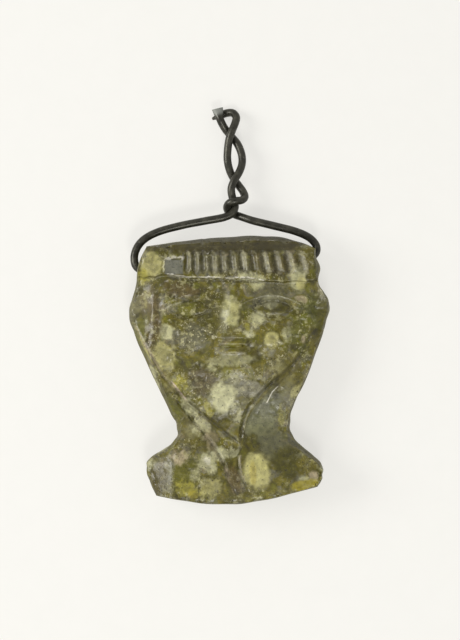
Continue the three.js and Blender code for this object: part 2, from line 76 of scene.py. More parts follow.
# The face, a calm mask, whose nose stands 0.3 mm lower than in the solid
FACE_X = 0.4
FACE_SINK = 0.1
BROW_OUT, BROW_UP, BROW_BOW, BROW_REACH, BROW_WIDTH, BROW_HEIGHT = 5.0, 9.75, 0.075, 3.6, 0.55, 0.32
BROW_FADE, NOSE_TIP_FADE, NOSE_ROOT_FADE = 1, 0.75, 0.6
LID_POINTS, LID_HALF_LENGTH = 7, 2.75
MOUTH = [(-2.1, 3.27), (0, 3.09), (2.1, 3.27)]
EYE_OUT, EYE_UP, EYE_LENGTH, EYE_HEIGHT, EYE_BALL = 5.3, 8.0, 2.6, 1.05, 0.34
SOCKET_DEPTH, SOCKET_LENGTH, SOCKET_HEIGHT = 0.42, 2.9, 1.55
NOSE_ROOT_Y, NOSE_TIP_Y = 10.6, 4.9
NOSE_ROOT_WIDTH, NOSE_WING_WIDTH = 0.75, 1.75
NOSE_ROOT_HEIGHT, NOSE_TIP_HEIGHT = 0.2, 0.75
LIPS_UP, LIPS_HALF, LIP_UPPER, LIP_LOWER, LIP_THICK, LIP_HEIGHT = 3.15, 2.3, 0.5, -0.55, 0.47, 0.3
CHIN_UP, CHIN_WIDTH, CHIN_LENGTH, CHIN_HEIGHT = 0.5, 2.6, 1.5, 0.42
CHEEK_OUT, CHEEK_UP, CHEEK_WIDTH, CHEEK_HEIGHT = 4.6, 4.4, 2.7, 0.3

# Ears and lappets. The ears' steps and some cut lines are wider or shallower than in the solid
EAR_AXIS, EAR_ROOT, EAR_STEP, EAR_UP, EAR_HALF, EAR_DROP = 0.2, 9.9, 1.4, 7.9, 3.1, 0.75
EAR_HOLLOW_DEPTH, EAR_HOLLOW_WIDTH = 0.5, 0.9
EAR_WANDER, EAR_WANDER_SIZE, EAR_WANDER_SEED = 1.2, 2.2, 8
LAPPET_LEFT = [(-12.3, 6.2), (-10.2, 2.3), (-8.6, -0.5), (-5.4, -4.0), (-1.7, -7.0), (1.35, -9.45)]
LAPPET_RIGHT = [(10.6, 4.6), (8.3, 0.9), (4.9, -2.2), (2.6, -4.8), (1.75, -6.9), (1.45, -9.35)]
LAPPET_DROP = 0.5
LAPPET_STEP = (-0.3, 0.9)
LAPPET_FOOT = (-13, -7)
LAPPET_HEAD = (8, 5)
LAPPET_FADE = (-9.4, -7)
STRAP_EDGE = [(-6.9, -3.6), (-4.3, -6.9), (-2.4, -9.1), (-0.9, -11.4), (0.1, -14.0), (0.9, -15.9)]
STEM_EDGE = [(1.2, -10.8), (1.2, -12.4), (2.0, -14.3), (2.7, -15.9)]
STRAP_WIDTH = 1.5
STRAP_SLOPE = 0.25
PAD_TOP = [(-8.5, 14.35), (-7.2, 14.5), (-5.9, 14.45)]
PAD_SIDE = [(-8.45, 14.6), (-8.6, 13.5), (-8.5, 12.4)]
EAR_LEFT_ROOT = [(-9.9, 10.6), (-10.2, 9.0), (-10.3, 7.2), (-10.9, 5.6)]
EAR_RIGHT_ROOT = [(11.9, 9.9), (11.0, 8.5), (10.4, 7.4), (10.3, 5.9)]

# Cut lines, as (width, depth), and how they run out to a point
LAPPET_LINE, STRAP_LINE, PAD_LINE = (0.75, 0.36), (0.55, 0.26), (0.4, 0.22)
EAR_LINE, LID_LINE = (0.8, 0.1), (0.42, 0.22)
CUT_POINT, CUT_BLUNT = 0.8, 0.1

# Outline, as (level, x) up each side, and (x, y) along the top and the bottom
LEFT_SIDE = [
    (-16.3, -9.5), (-14.4, -10.35), (-12.5, -10.75), (-11.4, -10.35), (-10.3, -8.7), (-9.1, -7.25),
    (-7.6, -6.85), (-5.7, -7.6), (-2.5, -9.15), (1.4, -10.95), (5.0, -12.45), (7.5, -13.05),
    (9.3, -12.65), (11.3, -12.1), (13.6, -11.85), (16.2, -10.75),
]
RIGHT_SIDE = [
    (-16.3, 11.6), (-15.3, 12.05), (-13.6, 12.2), (-12.4, 12.2), (-11.1, 11.1), (-9.8, 9.55),
    (-8.4, 8.35), (-6.6, 8.05), (-4.6, 8.45), (-1.8, 9.8), (2.1, 11.3), (6.6, 12.75),
    (8.9, 13.05), (10.2, 12.4), (11.4, 11.7), (13.4, 11.95), (14.9, 11.45), (16.2, 11.3),
]
FOOT_LEVEL = -16.3
CROWN_LEVEL = 16.2
BEND_BOTTOM_FROM = -13
BEND_TOP_FROM = 12.5
TOP_BACK = [(-10.75, 16.2), (-6.2, 16.95), (0.4, 17.5), (4.5, 17.6), (8.7, 17.0), (11.3, 15.9)]
TOP_FRONT = [(-10.75, 16.05), (-6.2, 16.35), (0.4, 16.75), (6, 16.85), (9.6, 16.4), (11.3, 15.75)]
BOTTOM = [(-9.5, -16.3), (-6, -16.95), (-0.4, -17.4), (3.5, -17.05), (8.5, -15.95), (11.6, -15.15)]
LEFT_BEVEL = [(-16.3, 0.45), (-7.6, 0.55), (1.4, 0.75), (7.5, 0.55), (11.3, 0.3), (16.2, 0.15)]
RIGHT_BEVEL = [
    (-16.3, 0.3), (-12.4, 0.35), (-10.3, 0.9), (-8.2, 0.6), (-6.6, 0.4),
    (8.9, 0.4), (11.4, 0.2), (13.4, 0.5), (16.2, 0.12),
]
BOTTOM_BEVEL = 0.28
SIDE_DEPTH, TOP_DEPTH, BOTTOM_DEPTH = 4.3, 1.7, 4.6
CORNER_REACH = 2
TOP_CORNER_SHARE = 0.12
BACK_RINGS = [(0.45, 0.06), (0.14, 0.4), (0, 1.0)]

# Fineness of the stone's mesh and lines, and the angle in degrees past which its edges stay sharp
CUT_SPAN_STEPS = 5
CELL = 0.125
LEDGE_CELL = 0.07
LEDGE_ZONE = (11.2, 12.8)
COLUMNS = 190
WALL_SMOOTHING = 3
BACK_CELL = 0.6
BACK_LOOP_STRIDE = 6
JOIN_WITHIN = 1e-6
STONE_SHARP = 65

# Wear of the stone's surface, whose chips keep to the front's edge
FAR_FROM_EDGE = 9
WAVE_DEPTH, WAVE_SIZE, WAVE_SEED = 0.07, 3.1, 1
HOLLOW_DEPTH, HOLLOW_SIZE, HOLLOW_SEED, HOLLOW_FROM = 0.09, 1.1, 2, (0.62, 0.8)
CHIP_DEPTH, CHIP_SIZE, CHIP_SEED, CHIP_FROM, CHIP_REACH = 0.28, 0.8, 4, (0.5, 0.75), 0.5

# The wire, its ends, and the bore that it runs through
WIRE_RADIUS = 0.515
WIRE_SIDES = 20
WIRE_STEP = 0.16
WIRE_SPAN_STEPS = 16
WIRE_SHARP = 50
WIRE_UNEVEN, WIRE_UNEVEN_SIZE, WIRE_UNEVEN_SEED = 0.05, 1.7, 7
CUT_REACH, CUT_WIDE, CUT_THICK = 1.3, 1.42, 0.6
CUT_BARE = (1.1, 0.5)
POINT_REACH, POINT_SIZE = 1.2, 0.3
BORE_RADIUS = 0.85
BORE_SIDES = 24
BORE_STEP = 0.4
BORE_SPAN_STEPS = 12
BORE_HEIGHT = 3.9
BORE_Y = 13.9
WIRE_SLOPE = 0.127
TWIST_A = [
    (-1.52, 34.25, 0.25), (-1.15, 32.8, 0.12), (-0.5, 31.6, -0.38), (0.2, 30.75, -0.56), (1.1, 29.6, -0.3),
    (1.65, 28.2, 0), (1.7, 27, 0.15), (1.3, 25.8, 0.42), (0.7, 24.8, 0.56), (0.3, 23.7, 0.4),
    (0.45, 22.5, 0.05), (0.78, 21.4, 0), (0.45, 20.5, 0.1), (-0.5, 20.0, 0.1),
]
LEFT_ARM = [(-3.0, 19.5, 0), (-6.1, 18.9, 0), (-9.2, 18.05, 0), (-10.8, 17.25, 0)]
THROUGH_STONE = [
    (-11.7, 16.4, 0), (-12.2, 15.4, 0), (-12.32, 14.5, 0), (-12.1, 13.6, 0), (-11.4, 13.05, 0),
    (-10.3, 13.0, 0), (10.0, 14.65, 0), (10.85, 14.85, 0), (11.35, 15.4, 0), (11.38, 16.15, 0),
    (10.95, 16.85, 0), (10.2, 17.45, 0),
]
RIGHT_ARM = [(8.7, 18.1, 0), (5.6, 18.9, 0), (3.0, 19.55, -0.1)]
TWIST_B = [
    (1.7, 20.0, -0.55), (0.75, 20.35, -1.02), (0.0, 20.7, -0.9), (-0.27, 21.25, 0), (0.05, 21.8, 0.87),
    (0.8, 22.05, 1.1), (1.6, 22.15, 0.7), (2.05, 22.6, 0.1), (1.85, 23.3, -0.3), (1.3, 24.1, -0.5),
    (0.7, 24.9, -0.56), (0.1, 26.1, -0.3), (-0.2, 27.5, 0), (-0.15, 29, 0.1), (0.05, 30.3, 0.42),
    (0.4, 31.3, 0.56), (0.8, 32.3, 0.4), (0.95, 33.1, 0.1), (0.5, 33.7, -0.3), (-0.3, 33.72, -0.7),
    (-1.2, 33.4, -0.9), (-2.2, 32.95, -0.9),
]


def linear(red, green, blue):
    """A screen colour, 0 to 255, as the light it stands for."""
    share = np.array([red, green, blue]) / 255
    return np.where(share <= 0.04045, share / 12.92, ((share + 0.055) / 1.055) ** 2.4)


POLISH = 0.022
DARKEST = 0.003


def tone(red, green, blue):
    """Colour of the stone that looks like this screen colour under its polish, which adds a little white."""
    return np.maximum(linear(red, green, blue) - POLISH, DARKEST)


# Tones of the stone
CREAM = tone(160, 155, 104)
PALE = tone(170, 168, 130)
CHALK = tone(212, 208, 192)
BEIGE = tone(158, 146, 118)
YELLOW = tone(146, 140, 66)
ORANGE = tone(140, 130, 50)
LEAF = tone(104, 103, 42)
OLIVE = tone(104, 97, 48)
MOSS = tone(88, 84, 42)
UMBER = tone(92, 81, 54)
DARK = tone(74, 70, 44)
SLATE = tone(104, 102, 82)
GREY = tone(122, 119, 98)
# Lavender-grey of the pad's facet, with a painted sheen of reflection
LAVENDER_SHEEN = tone(104, 104, 93)
STREAKY = tone(126, 117, 88)
SHADOW = tone(70, 66, 34)
FLECK = tone(158, 154, 116)
SPECK = tone(198, 192, 158)
PIT = tone(50, 46, 26)
SCRAPED = tone(132, 128, 106)

# Tones of the wire
WIRE_TONES = [(0.35, linear(44, 43, 36)), (0.55, linear(58, 57, 48)), (0.7, linear(72, 70, 60))]
WIRE_RUBBED = linear(112, 109, 98)
WIRE_CUT = linear(128, 130, 124)

# Soft grounds under the clasts, as (x, y, half width, half height, degrees, tone, strength, granularity)
GROUNDS = [
    (-10.9, 15.4, 0.9, 1.2, 0, GREY, 0.8, 0.6),
    (1.0, 17.3, 12.5, 0.75, 0, tone(76, 72, 52), 0.95, 0.1),
    (-0.5, 16.0, 12.5, 0.9, 1, tone(72, 67, 40), 0.95, 0.1),
    (2.5, 15.8, 8.0, 0.7, 1, tone(64, 60, 40), 0.8, 0.1),
    (9.6, 14.6, 1.7, 1.3, 70, OLIVE, 0.7, 0.4),
    # Grey band above the ledge, partly the stone's colour and partly a painted reflection
    (-1.0, 13.6, 5.0, 1.3, 0, GREY, 0.6, 0.8),
    (6.0, 13.7, 3.6, 1.4, 0, UMBER, 0.6, 0.6),
    (-6.0, 10.4, 2.5, 1.1, -8, UMBER, 0.9, 0.5),
    (-10.6, 9.0, 1.2, 2.4, -10, STREAKY, 0.7, 0.8),
    (-12.4, 8.1, 1.1, 1.8, -5, tone(108, 104, 76), 0.95, 0.3),
    (-9.6, 8.3, 0.9, 2.2, -5, UMBER, 0.8, 0.4),
    (5.6, 9.8, 2.4, 1.7, 15, SLATE, 0.7, 0.8),
    (-4.4, 4.4, 2.2, 1.9, 0, SLATE, 0.85, 0.9),
    (-0.6, 7.5, 2.4, 2.8, 0, MOSS, 0.8, 0.5),
    (-5.3, 8.0, 1.2, 1.2, 0, LEAF, 0.8, 0.9),
    (10.9, 7.6, 1.6, 2.6, 10, tone(100, 102, 34), 0.9, 0.5),
    (12.2, 7.6, 0.9, 2.4, 8, MOSS, 0.9, 0.2),
    (9.2, 4.4, 1.6, 3.2, 12, tone(98, 98, 42), 0.85, 0.8),
    (11.3, 3.2, 1.0, 2.6, 16, OLIVE, 0.8, 0.3),
    (7.6, -0.4, 2.4, 2.8, -30, OLIVE, 0.8, 0.5),
    (7.6, -3.6, 1.4, 2.0, -30, SLATE, 0.6, 0.6),
    (4.4, -5.6, 1.8, 3.6, -25, tone(98, 98, 74), 0.95, 0.15),
    (4.6, -7.4, 2.2, 1.6, 0, tone(108, 108, 80), 0.85, 0.2),
    (6.3, -10.0, 2.6, 1.9, -25, tone(94, 93, 72), 0.95, 0.1),
    (7.8, -11.6, 2.3, 2.1, -30, tone(78, 75, 42), 0.95, 0.1),
    (10.4, -11.8, 1.6, 1.4, -40, OLIVE, 0.8, 0.4),
    (2.5, -2.3, 2.0, 1.2, 0, GREY, 0.9, 0.5),
    (-11.4, 4.8, 1.1, 2.4, -18, LEAF, 0.85, 0.3),
    (-9.9, 4.9, 1.0, 2.4, -10, UMBER, 0.8, 0.6),
    (-8.2, -1.0, 1.0, 2.2, 32, OLIVE, 0.8, 0.5),
    (-3.2, -1.4, 2.2, 1.6, -20, UMBER, 0.7, 0.6),
    (-7.2, -5.0, 0.8, 2.4, 30, LEAF, 0.7, 0.4),
    (-5.2, -8.2, 1.2, 2.4, 20, OLIVE, 0.75, 0.7),
    (-6.0, -13.0, 1.9, 2.4, -25, tone(92, 90, 38), 0.95, 0.15),
    (-9.3, -14.1, 1.35, 2.6, -8, tone(80, 74, 36), 0.95, 0.15),
    (-9.6, -11.9, 1.0, 1.0, 0, tone(114, 111, 78), 0.8, 0.4),
    (-3.0, -9.4, 1.6, 1.2, 40, MOSS, 0.7, 0.7),
    (0.7, -14.2, 0.9, 2.6, 12, UMBER, 0.9, 0.6),
    (1.6, -16.4, 2.0, 0.6, 0, MOSS, 0.8, 0.5),
]

# Clasts and other bounded spots, in the same form
CLASTS = [
    (-9.9, 13.5, 1.6, 1.6, 10, CREAM, 0.95, 0.45),
    (-11.3, 12.1, 0.9, 1.0, 20, YELLOW, 0.75, 0.7),
    (8.9, 11.9, 1.15, 1.65, 0, PALE, 0.9, 0.45),
    (9.4, 11.2, 0.7, 1.0, 0, CREAM, 0.9, 0.4),
    (0.3, 7.6, 1.15, 2.1, 0, tone(146, 144, 104), 0.85, 0.5),
    (0.9, 8.1, 0.6, 1.3, 0, CREAM, 0.5, 0.7),
    (-8.2, 1.9, 1.35, 1.95, 15, CREAM, 0.85, 0.5),
    (5.5, 4.0, 1.15, 1.1, 0, CREAM, 0.9, 0.5),
    (0.3, 1.35, 3.3, 0.85, 2, PALE, 0.65, 0.6),
    (-0.85, -3.5, 1.7, 2.1, -10, PALE, 1.0, 0.3),
    (0.9, -5.2, 0.8, 1.5, 15, PALE, 0.75, 1.1),
    (3.55, -12.9, 1.8, 2.35, 4, tone(168, 163, 110), 1.0, 0.15),
    (3.1, -13.2, 0.45, 1.5, 2, tone(158, 148, 84), 0.8, 0.3),
    (-5.0, -4.9, 0.85, 1.5, 42, PALE, 0.8, 0.6),
    (-3.5, -6.8, 0.85, 1.6, 42, tone(140, 136, 108), 0.8, 0.7),
    (-2.2, -8.6, 0.7, 1.2, 35, STREAKY, 0.8, 0.7),
    (-2.7, -12.0, 1.1, 1.5, 10, PALE, 0.85, 0.8),
    (-2.8, -11.6, 0.4, 0.6, 20, CHALK, 0.45, 0.9),
    (-6.3, -11.1, 1.1, 0.95, 0, BEIGE, 0.85, 0.8),
    (0.2, -10.6, 1.1, 0.9, 0, PALE, 0.75, 1.1),
    (-2.7, -14.9, 1.5, 1.5, 0, CREAM, 0.8, 1.1),
    (-4.2, -13.6, 0.9, 0.8, 30, PALE, 0.6, 1.1),
    (-5.4, -15.2, 1.6, 1.1, -10, YELLOW, 0.85, 0.9),
    (-4.7, -16.0, 0.7, 0.6, 0, ORANGE, 0.7, 0.6),
    (8.7, -2.8, 0.6, 1.35, -35, CREAM, 0.75, 0.7),
    (6.8, -6.0, 0.45, 1.3, 0, YELLOW, 0.6, 0.9),
    (11.0, -13.6, 0.72, 0.7, 0, BEIGE, 0.95, 0.3),
    (9.6, -14.8, 2.0, 0.75, 12, ORANGE, 0.95, 0.35),
    (6.0, -15.9, 2.6, 0.5, 12, YELLOW, 0.6, 1.2),
    (-6.3, -1.4, 1.0, 1.3, 20, YELLOW, 0.95, 0.8),
    (-2.6, -4.9, 0.55, 1.0, 25, YELLOW, 0.9, 0.6),
    (-10.7, 12.0, 0.7, 0.9, 0, YELLOW, 0.75, 0.8),
    (9.4, 9.3, 0.8, 0.4, -20, BEIGE, 0.8, 0.6),
    (9.6, 4.1, 0.35, 0.6, 0, BEIGE, 0.8, 0.5),
    (6.2, 6.9, 0.6, 0.5, 0, CREAM, 0.7, 0.8),
    (2.3, 5.7, 0.35, 0.8, 15, YELLOW, 0.8, 0.7),
    (-4.2, 11.0, 0.45, 0.4, 0, LEAF, 0.9, 0.6),
]
PAD_X, PAD_Y, PAD_HALF, PAD_TALL = -7.1, 13.4, 1.15, 0.9

# Worn lines of the front, and painted highlights and shade along some edges and cuts, as (line, width, tone,
# strength, granularity)
WORN_LINES_AND_PAINTED_LIGHT = [
    # Chipped ledge edge: partly worn stone, partly a painted highlight
    ([(-7.9, 12.5), (-6.4, 12.25), (-5.3, 12.1), (2.6, 12.0), (4.4, 11.7)], 0.24, CHALK, 0.8, 1.3),
    # Painted shadow under the ledge's step
    ([(-7.9, 12.0), (-6.4, 11.8), (-5.3, 11.65), (2.6, 11.55), (6.4, 11.3)], 0.35, DARK, 0.7, 0.8),
    ([(-8.2, 14.5), (-7.2, 14.65), (-5.9, 14.6)], 0.3, CHALK, 0.7, 1.7),
    # Pale left edge: partly worn, partly a painted highlight
    ([(-12.6, 6.5), (-10.6, 2.4), (-9.0, -0.5)], 0.28, CREAM, 0.8, 0.7),
    ([(-11.2, 11.5), (-10.8, 10.5), (-10.9, 9.3), (-10.8, 8.3)], 0.45, CREAM, 0.65, 0.9),
    # Left lappet edge: partly worn, partly a painted highlight
    (LAPPET_LEFT[:4], 0.3, BEIGE, 0.6, 1.1),
    # Left arris: partly worn, partly a painted highlight
    ([(-7.4, -1.4), (-5.6, -3.6)], 0.22, tone(190, 172, 158), 0.8, 0.6),
    ([(-5.9, -4.2), (-4.6, -5.7), (-3.1, -7.3)], 1.1, PALE, 0.6, 1.2),
    # Painted shadow in the left lappet's groove
    ([(-5.2, -4.0), (-3.7, -5.2), (-1.8, -6.8), (1.2, -9.2)], 0.3, DARK, 0.8, 0.6),
    ([(6.3, -2.0), (5.6, -2.7), (5.2, -3.5), (4.9, -4.1)], 0.13, CHALK, 0.8, 0.3),
    ([(6.8, -8.9), (8.2, -9.7), (10.4, -10.9)], 0.4, STREAKY, 0.35, 0.6),
    ([(-3.0, -8.6), (-1.3, -11.2), (-0.5, -12.6)], 0.8, BEIGE, 0.45, 1.4),
    ([(-0.8, -11.6), (0.0, -14.0), (0.7, -15.9)], 0.22, BEIGE, 0.6, 1.2),
    ([(1.5, -11.0), (1.4, -12.6), (2.0, -14.2)], 0.35, BEIGE, 0.5, 1.5),
    ([(1.35, -9.3), (2.0, -6.5), (3.2, -4.6), (5.2, -2.2)], 0.45, OLIVE, 0.7, 0.5),
    ([(-11.2, 16.25), (-6, 16.75), (0, 17.15), (6, 17.2)], 0.2, DARK, 0.8, 0.6),
    # Painted highlight along the top front edge
    ([(-11.0, 16.1), (-8.5, 16.3), (-5.5, 16.45)], 0.16, CHALK, 0.7, 1.0),
    ([(-9, 16.75), (-2, 17.3), (6, 17.45)], 0.14, GREY, 0.7, 0.8),
]

# A painted highlight on the right flank of each flute, where the light catches it, and how much it shows
FLANK_WIDTH, FLANK_HIGHLIGHT_TONE, FLANK_ROUGH = 0.5, tone(146, 142, 116), 0.8
FLANK_OFF, FLANK_Y = 0.2, (15.1, 14.1, 12.9)
FLANK_HIGHLIGHT_SHARE = [0.7, 0.5, 0.3, 0.6, 0.4, 0.35, 0.85, 0.1, 0.95, 0.6, 0.75, 0.7]

# How the painted spots end, and how coarse and fine noise breaks them up
COARSE_SIZE, COARSE_SEED = 0.9, 5
FINE_SIZE, FINE_SEED = 0.32, 6
BARE_CRUMBLE = 0.6
SPOT_COARSE, SPOT_DEPTH = 0.9, 2.2
GROUND_FINE, GROUND_EDGE = 1.1, (1.35, 0.6)
CLAST_GRAIN, CLAST_EDGE = 0.3, (1.3, 0.7)
CLAST_MIDDLE, CLAST_RIM, CLAST_RIM_FROM = 0.88, 0.2, (0.2, 0.9)
MOTTLE_COARSE, MOTTLE_FINE = 0.4, 0.5
PAD_STRENGTH, PAD_ROUGH, PAD_EDGE, PAD_LEVELS = 0.95, 0.1, (0.15, -0.05), (5, 6.5)
LINE_DEPTH, LINE_FINE, LINE_EDGE = 2, 1.6, (1.3, 0.5)

# Rubbing by hands, which shows on the front alone: the high parts are paler, partly worn and partly a painted
# highlight, and the hollows and cuts get painted shade
WEAR_AND_HIGHLIGHT_PALE, CUT_SHADE_STRENGTH = 0.6, 0.28
WEAR_AND_HIGHLIGHT_FOOT, CUT_SHADE_DEPTHS, WEAR_AND_SHADE_LEVELS = (-2.5, 0.5), (0, 0.4), (5, 6)


def rise(start, end, value):
    """Smooth step from 0 at start to 1 at end, in either direction."""
    t = np.clip((value - start) / (end - start), 0, 1)
    return t * t * (3 - 2 * t)


def bell(offset, width):
    """Soft bump, 1 in its middle."""
    return np.exp(-((offset / width) ** 2))


def lerp(start, end, share):
    """A share of the way from start to end."""
    return start + (end - start) * share


def through(stations):
    """Smooth curve through (at, value) stations, flat beyond its ends."""
    at, value = np.array(stations, float).T
    chord = np.diff(value) / np.diff(at)
    slope = np.concatenate([chord[:1], (chord[:-1] + chord[1:]) / 2, chord[-1:]])

    def curve(where):
        here = np.clip(where, at[0], at[-1])
        i = np.clip(np.searchsorted(at, here) - 1, 0, len(chord) - 1)
        span = at[i + 1] - at[i]
        t = (here - at[i]) / span
        from_start = value[i] + slope[i] * span * t
        from_end = value[i + 1] - slope[i + 1] * span * (1 - t)
        return lerp(from_start, from_end, t * t * (3 - 2 * t))

    return curve


def smooth_line(points, per_span):
    """Centripetal curve through points, with per_span steps between two of them."""
    points = np.array(points, float)
    padded = np.vstack([2 * points[0] - points[1], points, 2 * points[-1] - points[-2]])
    made = []
    for p0, p1, p2, p3 in zip(padded, padded[1:], padded[2:], padded[3:]):
        d0, d1, d2 = (math.sqrt(np.linalg.norm(b - a)) for a, b in ((p0, p1), (p1, p2), (p2, p3)))
        start = ((p1 - p0) / d0 - (p2 - p0) / (d0 + d1) + (p2 - p1) / d1) * d1
        end = ((p2 - p1) / d1 - (p3 - p1) / (d1 + d2) + (p3 - p2) / d2) * d1
        t = np.arange(per_span)[:, None] / per_span
        square = 3 * (p2 - p1) - 2 * start - end
        cube = 2 * (p1 - p2) + start + end
        made.append(p1 + start * t + square * t**2 + cube * t**3)
    return np.vstack([*made, points[-1:]])


def evenly(line, step):
    """The line again, with its points about one step apart."""
    along = np.concatenate([[0], np.cumsum(np.linalg.norm(np.diff(line, axis=0), axis=1))])
    at = np.linspace(0, along[-1], round(along[-1] / step) + 1)
    return np.column_stack([np.interp(at, along, column) for column in line.T])


LATTICE = 32
CHANCE_SEED, TILT_SEED = 11, 5
SEED_SHIFT, OCTAVE_SHIFT = 5.17, 1.7
CHANCE = np.random.default_rng(CHANCE_SEED).random((LATTICE, LATTICE, LATTICE))
TILT = np.linalg.qr(np.random.default_rng(TILT_SEED).normal(size=(3, 3)))[0]


def grain(points, size, seed, octaves=1):
    """Smooth seeded noise from 0 to 1 at 3-D points, with lumps of about that size."""
    total = np.zeros(len(points))
    weights = 0.5 ** np.arange(octaves)
    for octave, weight in enumerate(weights):
        points = points @ TILT
        p = points / size * 2**octave + SEED_SHIFT * seed + OCTAVE_SHIFT * octave
        cell = np.floor(p).astype(int)
        f = p - cell
        f = f * f * (3 - 2 * f)
        for corner in np.ndindex(2, 2, 2):
            share = np.prod(np.where(corner, f, 1 - f), axis=1)
            total += weight * share * CHANCE[tuple(((cell + corner) % LATTICE).T)]
    return total / weights.sum()


def ripple(x, y, size, seed, octaves=1):
    """Noise over the front, from -0.5 to 0.5."""
    return grain(np.stack([x, y, 0 * x], 1), size, seed, octaves) - 0.5


def beside(line, x, y):
    """Signed distance to a line, positive on its right, how far along that is, and the line's length."""
    nearest = np.full(x.shape, np.inf)
    signed = np.zeros(x.shape)
    walked = np.zeros(x.shape)
    before = 0
    for (ax, ay), (bx, by) in zip(line, line[1:]):
        dx, dy = bx - ax, by - ay
        length = math.hypot(dx, dy)
        t = np.clip(((x - ax) * dx + (y - ay) * dy) / length**2, 0, 1)
        off_x, off_y = x - ax - t * dx, y - ay - t * dy
        distance = np.hypot(off_x, off_y)
        closer = distance < nearest
        signed = np.where(closer, np.sign(dy * off_x - dx * off_y) * distance, signed)
        walked = np.where(closer, before + t * length, walked)
        nearest = np.where(closer, distance, nearest)
        before += length
    return signed, walked, before


left_side, right_side = through(LEFT_SIDE), through(RIGHT_SIDE)
top_back, top_front, bottom_edge = through(TOP_BACK), through(TOP_FRONT), through(BOTTOM)
left_bevel, right_bevel = through(LEFT_BEVEL), through(RIGHT_BEVEL)
ledge_line = through(LEDGE)


# The worked front, as a height above the back


def body(x, y):
    """The crowned front, thinner at the neck, with the facet at the foot's left corner."""
    crowned = FRONT_HEIGHT - EDGE_FALL * (x / HALF_WIDTH) ** 2
    neck = -WAIST_FALL * bell(y - WAIST_Y, WAIST_LENGTH)
    wander = FOOT_WANDER * ripple(0 * x, y, FOOT_WANDER_SIZE, FOOT_WANDER_SEED)
    past = np.maximum(0, FOOT_CORNER_X - x + wander + FOOT_SOFT)
    fall = np.where(past < 2 * FOOT_SOFT, past**2 / (4 * FOOT_SOFT), past - FOOT_SOFT)
    foot_corner = -FOOT_CORNER_SLOPE * fall * rise(*FOOT_FROM, y)
    return crowned + neck + foot_corner


def crown_band(x, y):
    """The proud band above its chipped ledge, sloping back to the top edge."""
    chips = LEDGE_CHIP * ripple(x, y * LEDGE_CHIP_STRETCH, LEDGE_CHIP_SIZE, LEDGE_CHIP_SEED, 2)
    over = y - ledge_line(x) + chips
    proud = BAND_PROUD * rise(-LEDGE_WIDTH / 2, LEDGE_WIDTH / 2, over)
    bevel = BAND_BEVEL_DROP * rise(*BAND_BEVEL, y)
    return proud - bevel


def face(x, y):
    """Brows, eyes, nose, lips, chin and cheeks."""
    out = np.abs(x - FACE_X)
    brow_line = BROW_UP - BROW_BOW * (out - BROW_OUT) ** 2
    brow_ends = rise(BROW_REACH + BROW_FADE, BROW_REACH, np.abs(out - BROW_OUT))
    brow = BROW_HEIGHT * bell(y - brow_line, BROW_WIDTH) * brow_ends
    eye_out, eye_up = out - EYE_OUT, y - EYE_UP
    socket = SOCKET_DEPTH * bell(eye_out, SOCKET_LENGTH) * bell(eye_up, SOCKET_HEIGHT)
    ball = EYE_BALL * np.maximum(0, 1 - (eye_out / EYE_LENGTH) ** 2 - (eye_up / EYE_HEIGHT) ** 2)
    down = np.clip((NOSE_ROOT_Y - y) / (NOSE_ROOT_Y - NOSE_TIP_Y), 0, 1)
    nose_width = lerp(NOSE_ROOT_WIDTH, NOSE_WING_WIDTH, down**2)
    nose_tip = rise(NOSE_TIP_Y - NOSE_TIP_FADE, NOSE_TIP_Y, y)
    nose_ends = nose_tip * rise(NOSE_ROOT_Y + NOSE_ROOT_FADE, NOSE_ROOT_Y, y)
    nose = lerp(NOSE_ROOT_HEIGHT, NOSE_TIP_HEIGHT, down) * bell(out, nose_width) * nose_ends
    lip_ends = np.maximum(0, 1 - (out / LIPS_HALF) ** 2)
    upper = bell(y - LIPS_UP - LIP_UPPER, LIP_THICK)
    lower = bell(y - LIPS_UP - LIP_LOWER, LIP_THICK)
    lips = LIP_HEIGHT * lip_ends * (upper + lower)
    chin = CHIN_HEIGHT * bell(out, CHIN_WIDTH) * bell(y - CHIN_UP, CHIN_LENGTH)
    cheeks = CHEEK_HEIGHT * bell(out - CHEEK_OUT, CHEEK_WIDTH) * bell(y - CHEEK_UP, CHEEK_WIDTH)
    return brow + ball + nose + lips + chin + cheeks - socket - FACE_SINK


def ears(x, y):
    """The drop from the face to each ear, with a hollow in the ear's middle."""
    wander = EAR_WANDER * ripple(x, y, EAR_WANDER_SIZE, EAR_WANDER_SEED, 2)
    past_root = rise(EAR_ROOT, EAR_ROOT + EAR_STEP, np.abs(x - EAR_AXIS) + wander)
    hollow = EAR_HOLLOW_DEPTH * bell(y - EAR_UP, EAR_HOLLOW_WIDTH)
    return -past_root * bell(y - EAR_UP, EAR_HALF) * (EAR_DROP + hollow)


def lappets(x, y):
    """The drop outside the two lappet lines."""
    left_outside = beside(LAPPET_LEFT, x, y)[0]
    right_outside = -beside(LAPPET_RIGHT, x, y)[0]
    along = rise(*LAPPET_FOOT, y) * rise(*LAPPET_HEAD, y)
    step = rise(*LAPPET_STEP, np.maximum(left_outside, right_outside))
    slope_left = STRAP_SLOPE * np.maximum(0, left_outside - STRAP_WIDTH) * rise(*LAPPET_FADE, y)
    return -along * (LAPPET_DROP * step + slope_left)


def stroke(x, y, line, width, depth, edge=1.0):
    """Depth of a cut along a line: edge 1 is a V, and higher is a rounder gouge."""
    curve = smooth_line(line, CUT_SPAN_STEPS)
    near = (x > curve[:, 0].min() - width) & (x < curve[:, 0].max() + width)
    near &= (y > curve[:, 1].min() - width) & (y < curve[:, 1].max() + width)
    cut = np.zeros(x.shape)
    signed, walked, length = beside(curve, x[near], y[near])
    taper = np.clip(np.minimum(walked, length - walked) / CUT_POINT + CUT_BLUNT, 0, 1)
    inside = np.clip(1 - np.abs(signed) / (width / 2 * taper), 0, 1)
    cut[near] = depth * taper * (1 - (1 - inside) ** edge)
    return cut


